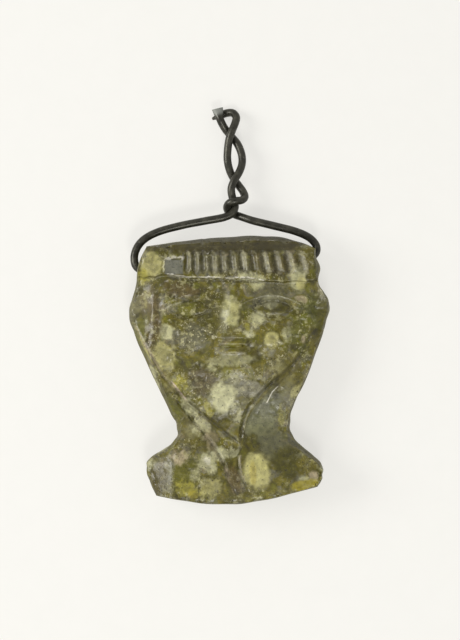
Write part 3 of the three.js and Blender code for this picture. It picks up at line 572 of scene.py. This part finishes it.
def eye_lids():
    """Upper and lower lid lines of both eyes."""
    along = np.linspace(-1, 1, LID_POINTS)
    for side in (-1, 1):
        for up in (1, -1):
            x = FACE_X + side * (EYE_OUT + along * LID_HALF_LENGTH)
            yield list(zip(x, EYE_UP + up * EYE_HEIGHT * (1 - along**2)))


def flute_line(i, off, ys):
    """A line down a flute, off its middle by a share of the pitch, and the pitch there."""
    pitch = FLUTE_PITCH + 2 * FLUTE_SPREAD * i
    x = FIRST_FLUTE_X + FLUTE_PITCH * i + FLUTE_SPREAD * i * i + off * pitch
    lean = FLUTE_LEAN * i
    return list(zip((x - lean, x, x + lean), ys)), pitch


def painted_flank_highlights():
    """Short painted highlights along the flutes' right flanks, where the light catches them."""
    for i, share in enumerate(FLANK_HIGHLIGHT_SHARE):
        line, pitch = flute_line(i, FLANK_OFF, FLANK_Y)
        yield line, FLANK_WIDTH * pitch, FLANK_HIGHLIGHT_TONE, share, FLANK_ROUGH


def flute_cuts(x, y):
    """Depth of the flutes of the band, which grow wider from left to right."""
    cut = 0
    for i in range(FLUTES):
        line, pitch = flute_line(i, 0, FLUTE_Y)
        cut = cut + stroke(x, y, line, FLUTE_SHARE * pitch, FLUTE_DEPTH, edge=FLUTE_ROUND)
    return cut


def carving(x, y):
    """Depth of all the lines cut into the front."""
    mouth = [(FACE_X + out, up) for out, up in MOUTH]
    cut = flute_cuts(x, y)
    for size, lines in (
        (LID_LINE, [*eye_lids(), mouth]),
        (LAPPET_LINE, [LAPPET_LEFT[1:], LAPPET_RIGHT]),
        (STRAP_LINE, [STRAP_EDGE, STEM_EDGE]),
        (PAD_LINE, [PAD_TOP, PAD_SIDE]),
        (EAR_LINE, [EAR_LEFT_ROOT, EAR_RIGHT_ROOT]),
    ):
        for line in lines:
            cut += stroke(x, y, line, *size)
    return cut


def front_height(x, y):
    """Height of the carved front, before wear."""
    on_face = rise(LEDGE_WIDTH, -LEDGE_WIDTH, y - ledge_line(x))
    ground = body(x, y) + crown_band(x, y) + on_face * (face(x, y) + ears(x, y)) + lappets(x, y)
    return ground - carving(x, y)


# The stone's mesh

FRONT_EDGE = (
    lambda level: left_side(level) + left_bevel(level),
    lambda level: right_side(level) - right_bevel(level),
    top_front,
    lambda x: bottom_edge(x) + BOTTOM_BEVEL,
)


def inset_edge(inset):
    """The widest outline, drawn in all round."""
    return (
        lambda level: left_side(level) + inset,
        lambda level: right_side(level) - inset,
        lambda x: top_back(x) - inset,
        lambda x: bottom_edge(x) + inset,
    )


def place(level, share, edge):
    """Where a level and a share of the width lie, in a layer of the stone that reaches to the given edge."""
    left, right, top, bottom = edge
    x = lerp(left(level), right(level), share)
    near_top = rise(BEND_TOP_FROM, CROWN_LEVEL, level)
    near_bottom = rise(BEND_BOTTOM_FROM, FOOT_LEVEL, level)
    y = level + near_top * (top(x) - CROWN_LEVEL) + near_bottom * (bottom(x) - FOOT_LEVEL)
    return x, y


def wall_depth(level, share):
    """Height of the wall's widest line."""
    on_top = rise(0, TOP_CORNER_SHARE, np.minimum(share, 1 - share))
    near_top = rise(CROWN_LEVEL - CORNER_REACH, CROWN_LEVEL, level) * on_top
    near_bottom = rise(FOOT_LEVEL + CORNER_REACH, FOOT_LEVEL, level)
    return lerp(lerp(SIDE_DEPTH, TOP_DEPTH, near_top), BOTTOM_DEPTH, near_bottom)


def row_levels():
    """Levels of the rows, closer together at the ledge."""
    lower = np.arange(FOOT_LEVEL, LEDGE_ZONE[0], CELL)
    ledge = np.arange(LEDGE_ZONE[0], LEDGE_ZONE[1], LEDGE_CELL)
    upper = np.linspace(LEDGE_ZONE[1], CROWN_LEVEL, round((CROWN_LEVEL - LEDGE_ZONE[1]) / CELL))
    return np.concatenate([lower, ledge, upper])


def rounded(profile):
    """The wall's profile with its corners cut off, again and again."""
    for _ in range(WALL_SMOOTHING):
        quarter = profile[:-1] * 0.75 + profile[1:] * 0.25
        three_quarters = profile[:-1] * 0.25 + profile[1:] * 0.75
        middle = np.stack([quarter, three_quarters], 1).reshape(-1, *profile.shape[1:])
        profile = np.concatenate([profile[:1], middle[1:-1], profile[-1:]])
    return profile


def stone_mesh():
    """Points and faces of the carved block before the bore, and each point's distance to the front's edge."""
    levels = row_levels()
    shares = np.linspace(0, 1, COLUMNS + 1)
    level, share = (a.ravel() for a in np.meshgrid(levels, shares, indexing="ij"))
    x, y = place(level, share, FRONT_EDGE)
    points = [np.column_stack([x, y, front_height(x, y)])]
    rows, across = len(levels), COLUMNS + 1
    index = np.arange(rows * across).reshape(rows, across)
    quads = [np.stack([index[:-1, :-1], index[:-1, 1:], index[1:, 1:], index[1:, :-1]], -1).reshape(-1, 4)]
    walk = np.concatenate([index[0, :-1], index[:-1, -1], index[-1, :0:-1], index[:0:-1, 0]])
    depth = wall_depth(level[walk], share[walk])
    stations = [points[0][walk]]
    for part, inset in [(1, 0), *BACK_RINGS]:
        stations.append(np.column_stack([*place(level[walk], share[walk], inset_edge(inset)), depth * part]))
    profile = rounded(np.array(stations))
    ring = walk
    count = rows * across
    for station in profile[1:]:
        points.append(station)
        below = np.arange(count, count + len(walk))
        quads.append(np.stack([ring, below, np.roll(below, -1), np.roll(ring, -1)], -1))
        ring = below
        count += len(walk)
    back_points, triangles = back_fill(profile[-1], ring, count)
    points.append(back_points)
    back_away = np.full(len(back_points), FAR_FROM_EDGE)
    edge_away = np.concatenate([edge_distance(index), *wall_distance(profile), back_away])
    return np.vstack(points), np.vstack(quads), triangles, edge_away


def back_fill(outline, ring, count):
    """Inner points of the back, and triangles that close it."""
    low, high = outline.min(0), outline.max(0)
    grid = np.mgrid[low[0]:high[0]:BACK_CELL, low[1]:high[1]:BACK_CELL].reshape(2, -1).T
    loop = outline[:, :2]
    away = np.abs(beside(np.vstack([loop[::BACK_LOOP_STRIDE], loop[:1]]), grid[:, 0], grid[:, 1])[0])
    inner = grid[away > BACK_CELL / 2]
    corners = [Vector(p) for p in np.vstack([loop, inner])]
    edges = [(i, (i + 1) % len(loop)) for i in range(len(loop))]
    inside_only = 1
    _, _, faces, origin, _, _ = geometry.delaunay_2d_cdt(corners, edges, [], inside_only, JOIN_WITHIN)
    source = [o[0] for o in origin]
    used = sorted({source[i] for f in faces for i in f if source[i] >= len(loop)})
    number = {i: ring[i] for i in range(len(loop))}
    number.update({old: count + k for k, old in enumerate(used)})
    triangles = np.array([[number[source[i]] for i in reversed(f)] for f in faces])
    back = np.array([[*corners[i], 0] for i in used])
    return back, triangles


def edge_distance(index):
    """Rough distance of each front point to the front's edge."""
    rows, across = index.shape
    row, column = np.divmod(index.ravel(), across)
    cells = np.minimum.reduce([row, rows - 1 - row, column, across - 1 - column])
    return cells * CELL


def wall_distance(profile):
    """Distance of each wall point to the front's edge, ring by ring."""
    steps = np.linalg.norm(np.diff(profile, axis=0), axis=2)
    return list(np.cumsum(steps, axis=0))


def corner_normals(points, quads, triangles):
    """Outward normal at each point."""
    normals = np.zeros_like(points)
    for faces in (quads, triangles):
        a, b, c = (points[faces[:, k]] for k in (0, 1, -1))
        across = np.cross(b - a, c - a)
        for k in range(faces.shape[1]):
            np.add.at(normals, faces[:, k], across)
    return normals / np.maximum(np.linalg.norm(normals, axis=1, keepdims=True), 1e-9)


def worn(points, normals, edge_away):
    """The surface after wear: low hand-ground waves, small hollows, and chips along the front's edge."""
    waves = WAVE_DEPTH * grain(points, WAVE_SIZE, WAVE_SEED, 2)
    hollows = HOLLOW_DEPTH * rise(*HOLLOW_FROM, grain(points, HOLLOW_SIZE, HOLLOW_SEED, 2))
    near_edge = rise(CHIP_REACH, 0, edge_away)
    chips = CHIP_DEPTH * near_edge * rise(*CHIP_FROM, grain(points, CHIP_SIZE, CHIP_SEED, 2))
    return points - normals * (waves + hollows + chips)[:, None]


def mesh_object(name, points, faces):
    """A piece from points in millimetres."""
    mesh = bpy.data.meshes.new(name)
    mesh.from_pydata((points * MM).tolist(), [], faces)
    mesh.update()
    mesh.shade_smooth()
    piece = bpy.data.objects.new(name, mesh)
    bpy.context.scene.collection.objects.link(piece)
    return piece


def wire_route(stations):
    """Route in space of stations given as (x, y, lift above the wire's sloping middle)."""
    stations = np.array(stations)
    lying = BORE_HEIGHT - WIRE_SLOPE * np.maximum(0, stations[:, 1] - BORE_Y)
    return np.column_stack([stations[:, :2], lying + stations[:, 2]])


def sweep(line, radius, sides):
    """Points and faces of a closed tube along a line; radius may change from point to point."""
    tangents = np.gradient(line, axis=0)
    tangents /= np.linalg.norm(tangents, axis=1, keepdims=True)
    side = np.cross(tangents[0], (0, 0, 1))
    turns = np.linspace(0, 2 * math.pi, sides, endpoint=False)
    rings = []
    for point, tangent, r in zip(line, tangents, np.broadcast_to(radius, len(line))):
        side = side - tangent * side.dot(tangent)
        side /= np.linalg.norm(side)
        up = np.cross(tangent, side)
        rings.append(point + r * (np.cos(turns)[:, None] * side + np.sin(turns)[:, None] * up))
    points = np.vstack([*rings, line[:1], line[-1:]])
    faces = []
    for j in range(len(line) - 1):
        for i in range(sides):
            k = (i + 1) % sides
            faces.append((j * sides + i, j * sides + k, (j + 1) * sides + k, (j + 1) * sides + i))
    last = (len(line) - 1) * sides
    for i in range(sides):
        k = (i + 1) % sides
        faces.append((i, len(points) - 2, k))
        faces.append((last + k, len(points) - 1, last + i))
    return points, faces


def drop_mid_edge_points(mesh):
    """Takes out the points that a cut leaves in the middle of an edge, where triangles would fold flat."""
    work = bmesh.new()
    work.from_mesh(mesh)
    middle = [point for point in work.verts if len(point.link_edges) == 2]
    bmesh.ops.dissolve_verts(work, verts=middle)
    work.to_mesh(mesh)
    work.free()


def drilled(stone):
    """The stone with its side-to-side bore, which follows the wire and so grooves both shoulders."""
    line = evenly(smooth_line(wire_route(THROUGH_STONE), BORE_SPAN_STEPS), BORE_STEP)
    cutter = mesh_object("bore_cutter", *sweep(line, BORE_RADIUS, BORE_SIDES))
    cut = stone.modifiers.new("bore", "BOOLEAN")
    cut.operation = "DIFFERENCE"
    cut.solver = "MANIFOLD"
    cut.object = cutter
    bpy.context.view_layer.update()
    made = bpy.data.meshes.new_from_object(stone.evaluated_get(bpy.context.evaluated_depsgraph_get()))
    stone.modifiers.clear()
    old = stone.data
    stone.data = made
    made.name = stone.name
    bpy.data.meshes.remove(old)
    bpy.data.objects.remove(cutter)
    drop_mid_edge_points(made)
    made.shade_smooth()
    made.set_sharp_from_angle(angle=math.radians(STONE_SHARP))
    return stone


def positions(mesh):
    """Corner points of a mesh, in millimetres."""
    flat = np.zeros(len(mesh.vertices) * 3, np.float32)
    mesh.vertices.foreach_get("co", flat)
    return flat.reshape(-1, 3).astype(float) / MM


def store(piece, name, values):
    """Keeps a number, or a colour with its cover, at each point of a piece."""
    kind, key = ("FLOAT", "value") if values.ndim == 1 else ("FLOAT_COLOR", "color")
    made = piece.data.attributes.new(name, kind, "POINT")
    made.data.foreach_set(key, values.ravel().astype(np.float32))


def painted(points):
    """Colour and cover of the stone's own patches at each point, and how crumbly they are."""
    colour = np.zeros((len(points), 3))
    cover = np.zeros(len(points))
    crumble = np.full(len(points), BARE_CRUMBLE)
    coarse = grain(points, COARSE_SIZE, COARSE_SEED, 2) - 0.5
    fine = grain(points, FINE_SIZE, FINE_SEED, 2) - 0.5
    x, y, z = points.T

    def lay(laid, share, rough):
        nonlocal colour, cover, crumble
        share = np.clip(share, 0, 1)
        colour = lerp(colour, laid, share[:, None])
        cover = lerp(cover, 1, share)
        crumble = lerp(crumble, min(rough, 1), share)

    def spot_distance(px, py, half_width, half_height, turn):
        c, s = math.cos(math.radians(turn)), math.sin(math.radians(turn))
        along = ((x - px) * c + (y - py) * s) / half_width
        up = (-(x - px) * s + (y - py) * c) / half_height
        deep = (z - FRONT_HEIGHT) / (SPOT_DEPTH * max(half_width, half_height))
        return np.sqrt(along**2 + up**2 + deep**2)

    for *spot, laid, strength, rough in GROUNDS:
        away = spot_distance(*spot) + SPOT_COARSE * coarse + GROUND_FINE * fine * rough
        lay(laid, strength * rise(*GROUND_EDGE, away), rough)
    for *spot, laid, strength, rough in CLASTS:
        away = spot_distance(*spot)
        rim = CLAST_MIDDLE + CLAST_RIM * rise(*CLAST_RIM_FROM, away)[:, None]
        mottled = 1 + MOTTLE_COARSE * coarse[:, None] + MOTTLE_FINE * rough * fine[:, None]
        edge = away + SPOT_COARSE * coarse * (CLAST_GRAIN + rough) + fine * rough
        lay(laid * rim * mottled, strength * rise(*CLAST_EDGE, edge), rough)
    # The pad's flat facet, lavender-grey with a painted sheen of reflection
    off_pad = np.maximum(np.abs(x - PAD_X) - PAD_HALF, np.abs(y - PAD_Y) - PAD_TALL)
    lay(LAVENDER_SHEEN, PAD_STRENGTH * rise(*PAD_EDGE, off_pad) * rise(*PAD_LEVELS, z), PAD_ROUGH)
    # Worn lines, painted highlights and painted shade, then the painted flute highlights
    for line, width, laid, strength, rough in [*WORN_LINES_AND_PAINTED_LIGHT, *painted_flank_highlights()]:
        deep = (z - FRONT_HEIGHT) / LINE_DEPTH
        away = np.sqrt((beside(line, x, y)[0] / (width / 2)) ** 2 + deep**2)
        edge = away + coarse * rough + LINE_FINE * fine * rough
        lay(laid, strength * rise(*LINE_EDGE, edge), rough)
    return np.column_stack([colour, cover]), crumble


def rubbed_and_shaded(points):
    """How bright each point is: hands rub the high parts pale, partly as a painted highlight, and the face's
    hollows and the cuts get painted shade.
    """
    x, y, z = points.T
    on_face = rise(LEDGE_WIDTH, -LEDGE_WIDTH, y - ledge_line(x)) * rise(*WEAR_AND_HIGHLIGHT_FOOT, y)
    high = WEAR_AND_HIGHLIGHT_PALE * on_face * (face(x, y) + FACE_SINK)
    cut_shade = CUT_SHADE_STRENGTH * rise(*CUT_SHADE_DEPTHS, carving(x, y))
    return 1 + (high - cut_shade) * rise(*WEAR_AND_SHADE_LEVELS, z)


# Materials


def set_stops(ramp, stops):
    """Gives a colour ramp its stops, each a place and either a grey level or a colour."""
    elements = ramp.color_ramp.elements
    while len(elements) < len(stops):
        elements.new(0.5)
    for element, (at, shade) in zip(elements, stops):
        element.position = at
        element.color = (*shade, 1) if hasattr(shade, "__len__") else (shade, shade, shade, 1)


class Shader:
    """A node material, written as formulas."""

    def __init__(self, name):
        self.material = bpy.data.materials.new(name)
        self.material.use_nodes = True
        self.tree = self.material.node_tree
        self.tree.nodes.clear()
        self.output = self.add("ShaderNodeOutputMaterial")
        self.surface = self.add("ShaderNodeBsdfPrincipled")
        self.tree.links.new(self.surface.outputs[0], self.output.inputs[0])

    def add(self, kind, values=None, **settings):
        node = self.tree.nodes.new(kind)
        for key, value in settings.items():
            setattr(node, key, value)
        for key, value in (values or {}).items():
            self.put(node.inputs[key], value)
        return node

    def put(self, socket, value):
        if isinstance(value, bpy.types.NodeSocket):
            self.tree.links.new(value, socket)
        elif socket.type == "RGBA":
            socket.default_value = (*value, 1)
        else:
            socket.default_value = value

    def millimetres(self, stretch=(1, 1, 1), turn=(0, 0, 0)):
        where = self.add("ShaderNodeTexCoord").outputs["Object"]
        scale = [1 / MM * s for s in stretch]
        mapped = self.add("ShaderNodeMapping", {"Vector": where, "Scale": scale, "Rotation": turn})
        return mapped.outputs[0]

    def noise(self, where, size, detail=2.0, roughness=0.5, bend=0.0):
        values = {"Vector": where, "Scale": 1 / size, "Detail": detail}
        values |= {"Roughness": roughness, "Distortion": bend}
        return self.add("ShaderNodeTexNoise", values).outputs["Fac"]

    def ramp(self, value, stops):
        node = self.add("ShaderNodeValToRGB", {"Fac": value})
        set_stops(node, stops)
        return node.outputs["Color"]

    def stored(self, name):
        return self.add("ShaderNodeAttribute", attribute_name=name).outputs["Fac"]

    def mix(self, share, a, b):
        node = self.add("ShaderNodeMix", data_type="RGBA")
        self.put(node.inputs["Factor"], share)
        self.put(node.inputs[6], a)
        self.put(node.inputs[7], b)
        return node.outputs[2]

    def maths(self, operation, *values):
        node = self.add("ShaderNodeMath", operation=operation)
        for socket, value in zip(node.inputs, values):
            self.put(socket, value)
        return node.outputs[0]

    def bump(self, height, distance, strength, below=None):
        values = {"Height": height, "Distance": distance * MM, "Strength": strength}
        if below is not None:
            values["Normal"] = below
        return self.add("ShaderNodeBump", values).outputs[0]

    def finish(self, **values):
        for key, value in values.items():
            self.put(self.surface.inputs[key.replace("_", " ")], value)
        return self.material


def stone_material():
    """Mottled green stone: clouded olive ground, pale clasts, flecks and specks, pits and fine scratches."""
    s = Shader("mottled_green_stone")
    here = s.millimetres()
    clouds = s.noise(here, 2.4, 3, 0.55, 0.6)
    ground = s.ramp(clouds, [(0.34, DARK), (0.44, MOSS), (0.53, OLIVE), (0.6, SLATE), (0.68, STREAKY)])
    green = s.noise(s.millimetres((1.1, 0.9, 1), (0.5, 0, 0)), 1.5, 3, 0.55, 0.3)
    ground = s.mix(s.ramp(green, [(0.52, 0.0), (0.66, 0.7)]), ground, LEAF)
    bend = s.add("ShaderNodeTexNoise", {"Vector": here, "Scale": 1.6, "Detail": 3.0}).outputs["Color"]
    bent = s.add("ShaderNodeVectorMath", {0: here, 1: bend}, operation="ADD").outputs[0]
    cells = s.add("ShaderNodeTexVoronoi", {"Vector": bent, "Scale": 0.26}).outputs["Distance"]
    ground = s.mix(s.ramp(cells, [(0.2, 0.9), (0.32, 0.0)]), ground, PALE)
    paint = s.add("ShaderNodeAttribute", attribute_name="paint")
    colour = s.mix(paint.outputs["Alpha"], ground, paint.outputs["Color"])
    crumble = s.stored("crumble")
    deep = s.noise(s.millimetres(turn=(0.9, 0.2, 0.4)), 1.1, 4, 0.6, 0.6)
    dim = s.ramp(deep, [(0.52, 0.0), (0.66, 0.8)])
    colour = s.mix(s.maths("MULTIPLY", dim, crumble), colour, SHADOW)
    crowd = s.ramp(s.noise(here, 2.8, 2, 0.5, 0.4), [(0.42, 0.1), (0.58, 1.0)])
    crumble = s.maths("MULTIPLY", crowd, crumble)
    flecks = s.ramp(s.noise(here, 0.62, 3, 0.6, 0.4), [(0.53, 0.0), (0.62, 0.85)])
    colour = s.mix(s.maths("MULTIPLY", flecks, crumble), colour, FLECK)
    specks = s.ramp(s.noise(here, 0.24, 2, 0.6), [(0.62, 0.0), (0.7, 0.9)])
    colour = s.mix(s.maths("MULTIPLY", specks, crumble), colour, SPECK)
    pits = s.noise(s.millimetres(turn=(0.4, 0.7, 0.2)), 0.24, 2, 0.6)
    pitted = s.ramp(pits, [(0.29, 1.0), (0.37, 0.0)])
    colour = s.mix(s.maths("MULTIPLY", pitted, 0.7), colour, PIT)
    shading = s.noise(here, 0.7, 3, 0.6)
    # Brightness follows the rubbed wear, with painted highlights on high parts and painted shade in hollows
    # and cuts
    value = s.maths("MULTIPLY", s.maths("MULTIPLY_ADD", shading, 1.5, 0.22), s.stored("wear_and_shade"))
    shade = s.add("ShaderNodeHueSaturation", {"Color": colour, "Value": value}).outputs[0]
    # Walls that face sideways: painted shade darkens their colour, and their finish is rougher
    facing = s.add("ShaderNodeSeparateXYZ", {0: s.add("ShaderNodeNewGeometry").outputs["Normal"]}).outputs
    side = s.ramp(facing["Z"], [(0.2, 1.0), (0.75, 0.0)])
    ends = s.ramp(s.maths("ABSOLUTE", facing["Y"]), [(0.45, 0.0), (0.75, 1.0)])
    drag = s.noise(s.millimetres((0.12, 2.6, 2.6), (0.05, 0, 0)), 1.0, 3, 0.6)
    streaks = s.maths("MULTIPLY", s.ramp(drag, [(0.54, 0.0), (0.66, 0.35)]), ends)
    shade = s.mix(streaks, shade, SCRAPED)
    scratch = s.noise(s.millimetres((0.35, 7, 7), (0, 0, 0.5)), 1.0, 1, 0.5)
    scratches = s.ramp(scratch, [(0.62, 0.0), (0.68, 1.0)])
    normal = s.bump(s.maths("SUBTRACT", shading, pitted), 0.05, 0.6)
    normal = s.bump(scratches, 0.012, -0.5, normal)
    polish = s.maths("MULTIPLY_ADD", s.noise(here, 0.9, 3, 0.6), 0.3, 0.2)
    polish = s.maths("MULTIPLY_ADD", pitted, 0.3, polish)
    return s.finish(
        # Painted shade on the side walls
        Base_Color=s.mix(s.maths("MULTIPLY", side, 0.3), shade, DARK),
        Roughness=s.maths("MULTIPLY_ADD", side, 0.3, polish),
        Normal=normal,
        IOR=1.5,
        Subsurface_Weight=0.12,
        Subsurface_Radius=(1.0, 0.95, 0.4),
        Subsurface_Scale=0.0006,
    )


def wire_material():
    """Dark drawn wire under a grey-brown patina, with brighter rubbed spots and a bare cut end."""
    s = Shader("dark_wire")
    here = s.millimetres()
    patina = s.noise(here, 0.9, 4, 0.6)
    colour = s.ramp(patina, WIRE_TONES)
    rubbed = s.ramp(s.noise(here, 0.35, 3, 0.6), [(0.62, 0.0), (0.74, 0.4)])
    colour = s.mix(rubbed, colour, WIRE_RUBBED)
    cut = s.stored("bare")
    colour = s.mix(cut, colour, WIRE_CUT)
    normal = s.bump(s.noise(here, 0.25, 3, 0.6), 0.02, 0.4)
    roughness = s.maths("MULTIPLY_ADD", patina, 0.3, 0.2)
    return s.finish(
        Base_Color=colour,
        Metallic=0.5,
        Roughness=s.maths("MULTIPLY_ADD", cut, 0.25, roughness),
        Normal=normal,
    )


def floor_material():
    """Pale matt surface with a glow of its own, so that shadows stay faint."""
    s = Shader("pale_floor")
    fibres = s.noise(s.millimetres(), 3.0, 4, 0.7)
    colour = s.ramp(fibres, [(0.3, (0.235, 0.233, 0.218)), (0.7, (0.245, 0.242, 0.227))])
    return s.finish(
        Base_Color=colour,
        Roughness=0.95,
        Specular_IOR_Level=0.1,
        Emission_Color=(1.0, 0.987, 0.945),
        Emission_Strength=0.62,
    )


# The stone

points, quads, triangles, edge_away = stone_mesh()
points = worn(points, corner_normals(points, quads, triangles), edge_away)
stone = drilled(mesh_object("carved_amulet", points, quads.tolist() + triangles.tolist()))
paint, crumble = painted(positions(stone.data))
store(stone, "paint", paint)
store(stone, "crumble", crumble)
# Rubbed wear, with painted highlights on high parts and painted shade in hollows and cuts
store(stone, "wear_and_shade", rubbed_and_shaded(positions(stone.data)))
stone.data.materials.clear()
stone.data.materials.append(stone_material())
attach(stone, "root")
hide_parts("carved_stone")

# The wire


def worked_ends(points, line, walked):
    """Spreads the cut end, and draws the other end out to a point."""
    made = points.copy()
    for end, outward, away, reach, wide, thick in (
        (line[0], line[0] - line[2], walked, CUT_REACH, CUT_WIDE, CUT_THICK),
        (line[-1], line[-1] - line[-3], walked.max() - walked, POINT_REACH, POINT_SIZE, POINT_SIZE),
    ):
        outward = outward / np.linalg.norm(outward)
        across = np.array([-outward[1], outward[0], 0]) / math.hypot(outward[0], outward[1])
        upward = np.cross(outward, across)
        local = points - end
        share = np.clip(1 - away / reach, 0, 1)
        made += np.outer(local @ across * (wide - 1) * share, across)
        made += np.outer(local @ upward * (thick - 1) * share, upward)
    return made


def wire_piece():
    """The whole wire, a little uneven in thickness, with both its ends worked."""
    route = [*TWIST_A, *LEFT_ARM, *THROUGH_STONE, *RIGHT_ARM, *TWIST_B]
    line = evenly(smooth_line(wire_route(route), WIRE_SPAN_STEPS), WIRE_STEP)
    uneven = 1 + WIRE_UNEVEN * (grain(line, WIRE_UNEVEN_SIZE, WIRE_UNEVEN_SEED, 2) - 0.5)
    points, faces = sweep(line, WIRE_RADIUS * uneven, WIRE_SIDES)
    ring = np.append(np.arange(len(line)).repeat(WIRE_SIDES), [0, len(line) - 1])
    walked = ring * WIRE_STEP
    piece = mesh_object("twisted_wire", worked_ends(points, line, walked), faces)
    store(piece, "bare", rise(*CUT_BARE, walked))
    piece.data.set_sharp_from_angle(angle=math.radians(WIRE_SHARP))
    return piece


wire = wire_piece()
wire.data.materials.append(wire_material())
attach(wire, "root")
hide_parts("suspension_wire")

# The floor, lights and camera

FLOOR_HALF = 900
VIEW_X, VIEW_Y, VIEW_Z = 0.13, 6.57, 4.0
VIEW_HEIGHT = 83.2
LENS = 150
SENSOR = 36
CLIP_START = 0.01
LAMP_TINT = (1.0, 0.99, 0.97)
LAMP_GLINT = 0.25
ROOM_TINT = (1.0, 0.99, 0.975)
ROOM_LEVELS = [(0.0, 0.8), (0.5, 1.0), (0.8, 0.9), (0.93, 0.4), (1.0, 0.25)]
ROOM_STRENGTH = 0.8


def paper_floor():
    """A wide level floor under the amulet."""
    corners = np.array([(-1, -1, 0), (1, -1, 0), (1, 1, 0), (-1, 1, 0)]) * FLOOR_HALF
    floor = mesh_object("paper_floor", corners, [(0, 1, 2, 3)])
    floor.data.materials.append(floor_material())


def area_light(name, at, size, watts):
    """A round soft light that is aimed at the stone."""
    light = bpy.data.lights.new(name, "AREA")
    light.shape = "DISK"
    light.size = size * MM
    light.energy = watts
    light.color = LAMP_TINT
    light.specular_factor = LAMP_GLINT
    lamp = bpy.data.objects.new(name, light)
    lamp.location = Vector(at) * MM
    lamp.rotation_mode = "QUATERNION"
    lamp.rotation_quaternion = (Vector((0, 0, 0)) - lamp.location).to_track_quat("-Z", "Y")
    bpy.context.scene.collection.objects.link(lamp)


def soft_world():
    """A white room with a dimmer ceiling, so that level polished stone keeps its depth of colour."""
    world = bpy.data.worlds.new("soft_room")
    world.use_nodes = True
    tree = world.node_tree
    sky = tree.nodes["Background"]
    where = tree.nodes.new("ShaderNodeTexCoord")
    axes = tree.nodes.new("ShaderNodeSeparateXYZ")
    ramp = tree.nodes.new("ShaderNodeValToRGB")
    set_stops(ramp, [(at, [level * part for part in ROOM_TINT]) for at, level in ROOM_LEVELS])
    tree.links.new(where.outputs["Generated"], axes.inputs[0])
    tree.links.new(axes.outputs["Z"], ramp.inputs["Fac"])
    tree.links.new(ramp.outputs["Color"], sky.inputs["Color"])
    sky.inputs["Strength"].default_value = ROOM_STRENGTH
    bpy.context.scene.world = world


def photo_camera():
    """A long lens that looks straight down on the front."""
    lens = bpy.data.cameras.new("camera")
    lens.lens = LENS
    lens.sensor_width = SENSOR
    lens.clip_start = CLIP_START
    camera = bpy.data.objects.new("camera", lens)
    distance = VIEW_HEIGHT * LENS / SENSOR
    camera.location = Vector((VIEW_X, VIEW_Y, VIEW_Z + distance)) * MM
    bpy.context.scene.collection.objects.link(camera)
    bpy.context.scene.camera = camera


paper_floor()
soft_world()
area_light("window", at=(-320, 60, 250), size=220, watts=1.2)
area_light("lamp", at=(30, -190, 360), size=110, watts=0.6)
photo_camera()
bpy.context.scene.view_settings.view_transform = "Standard"
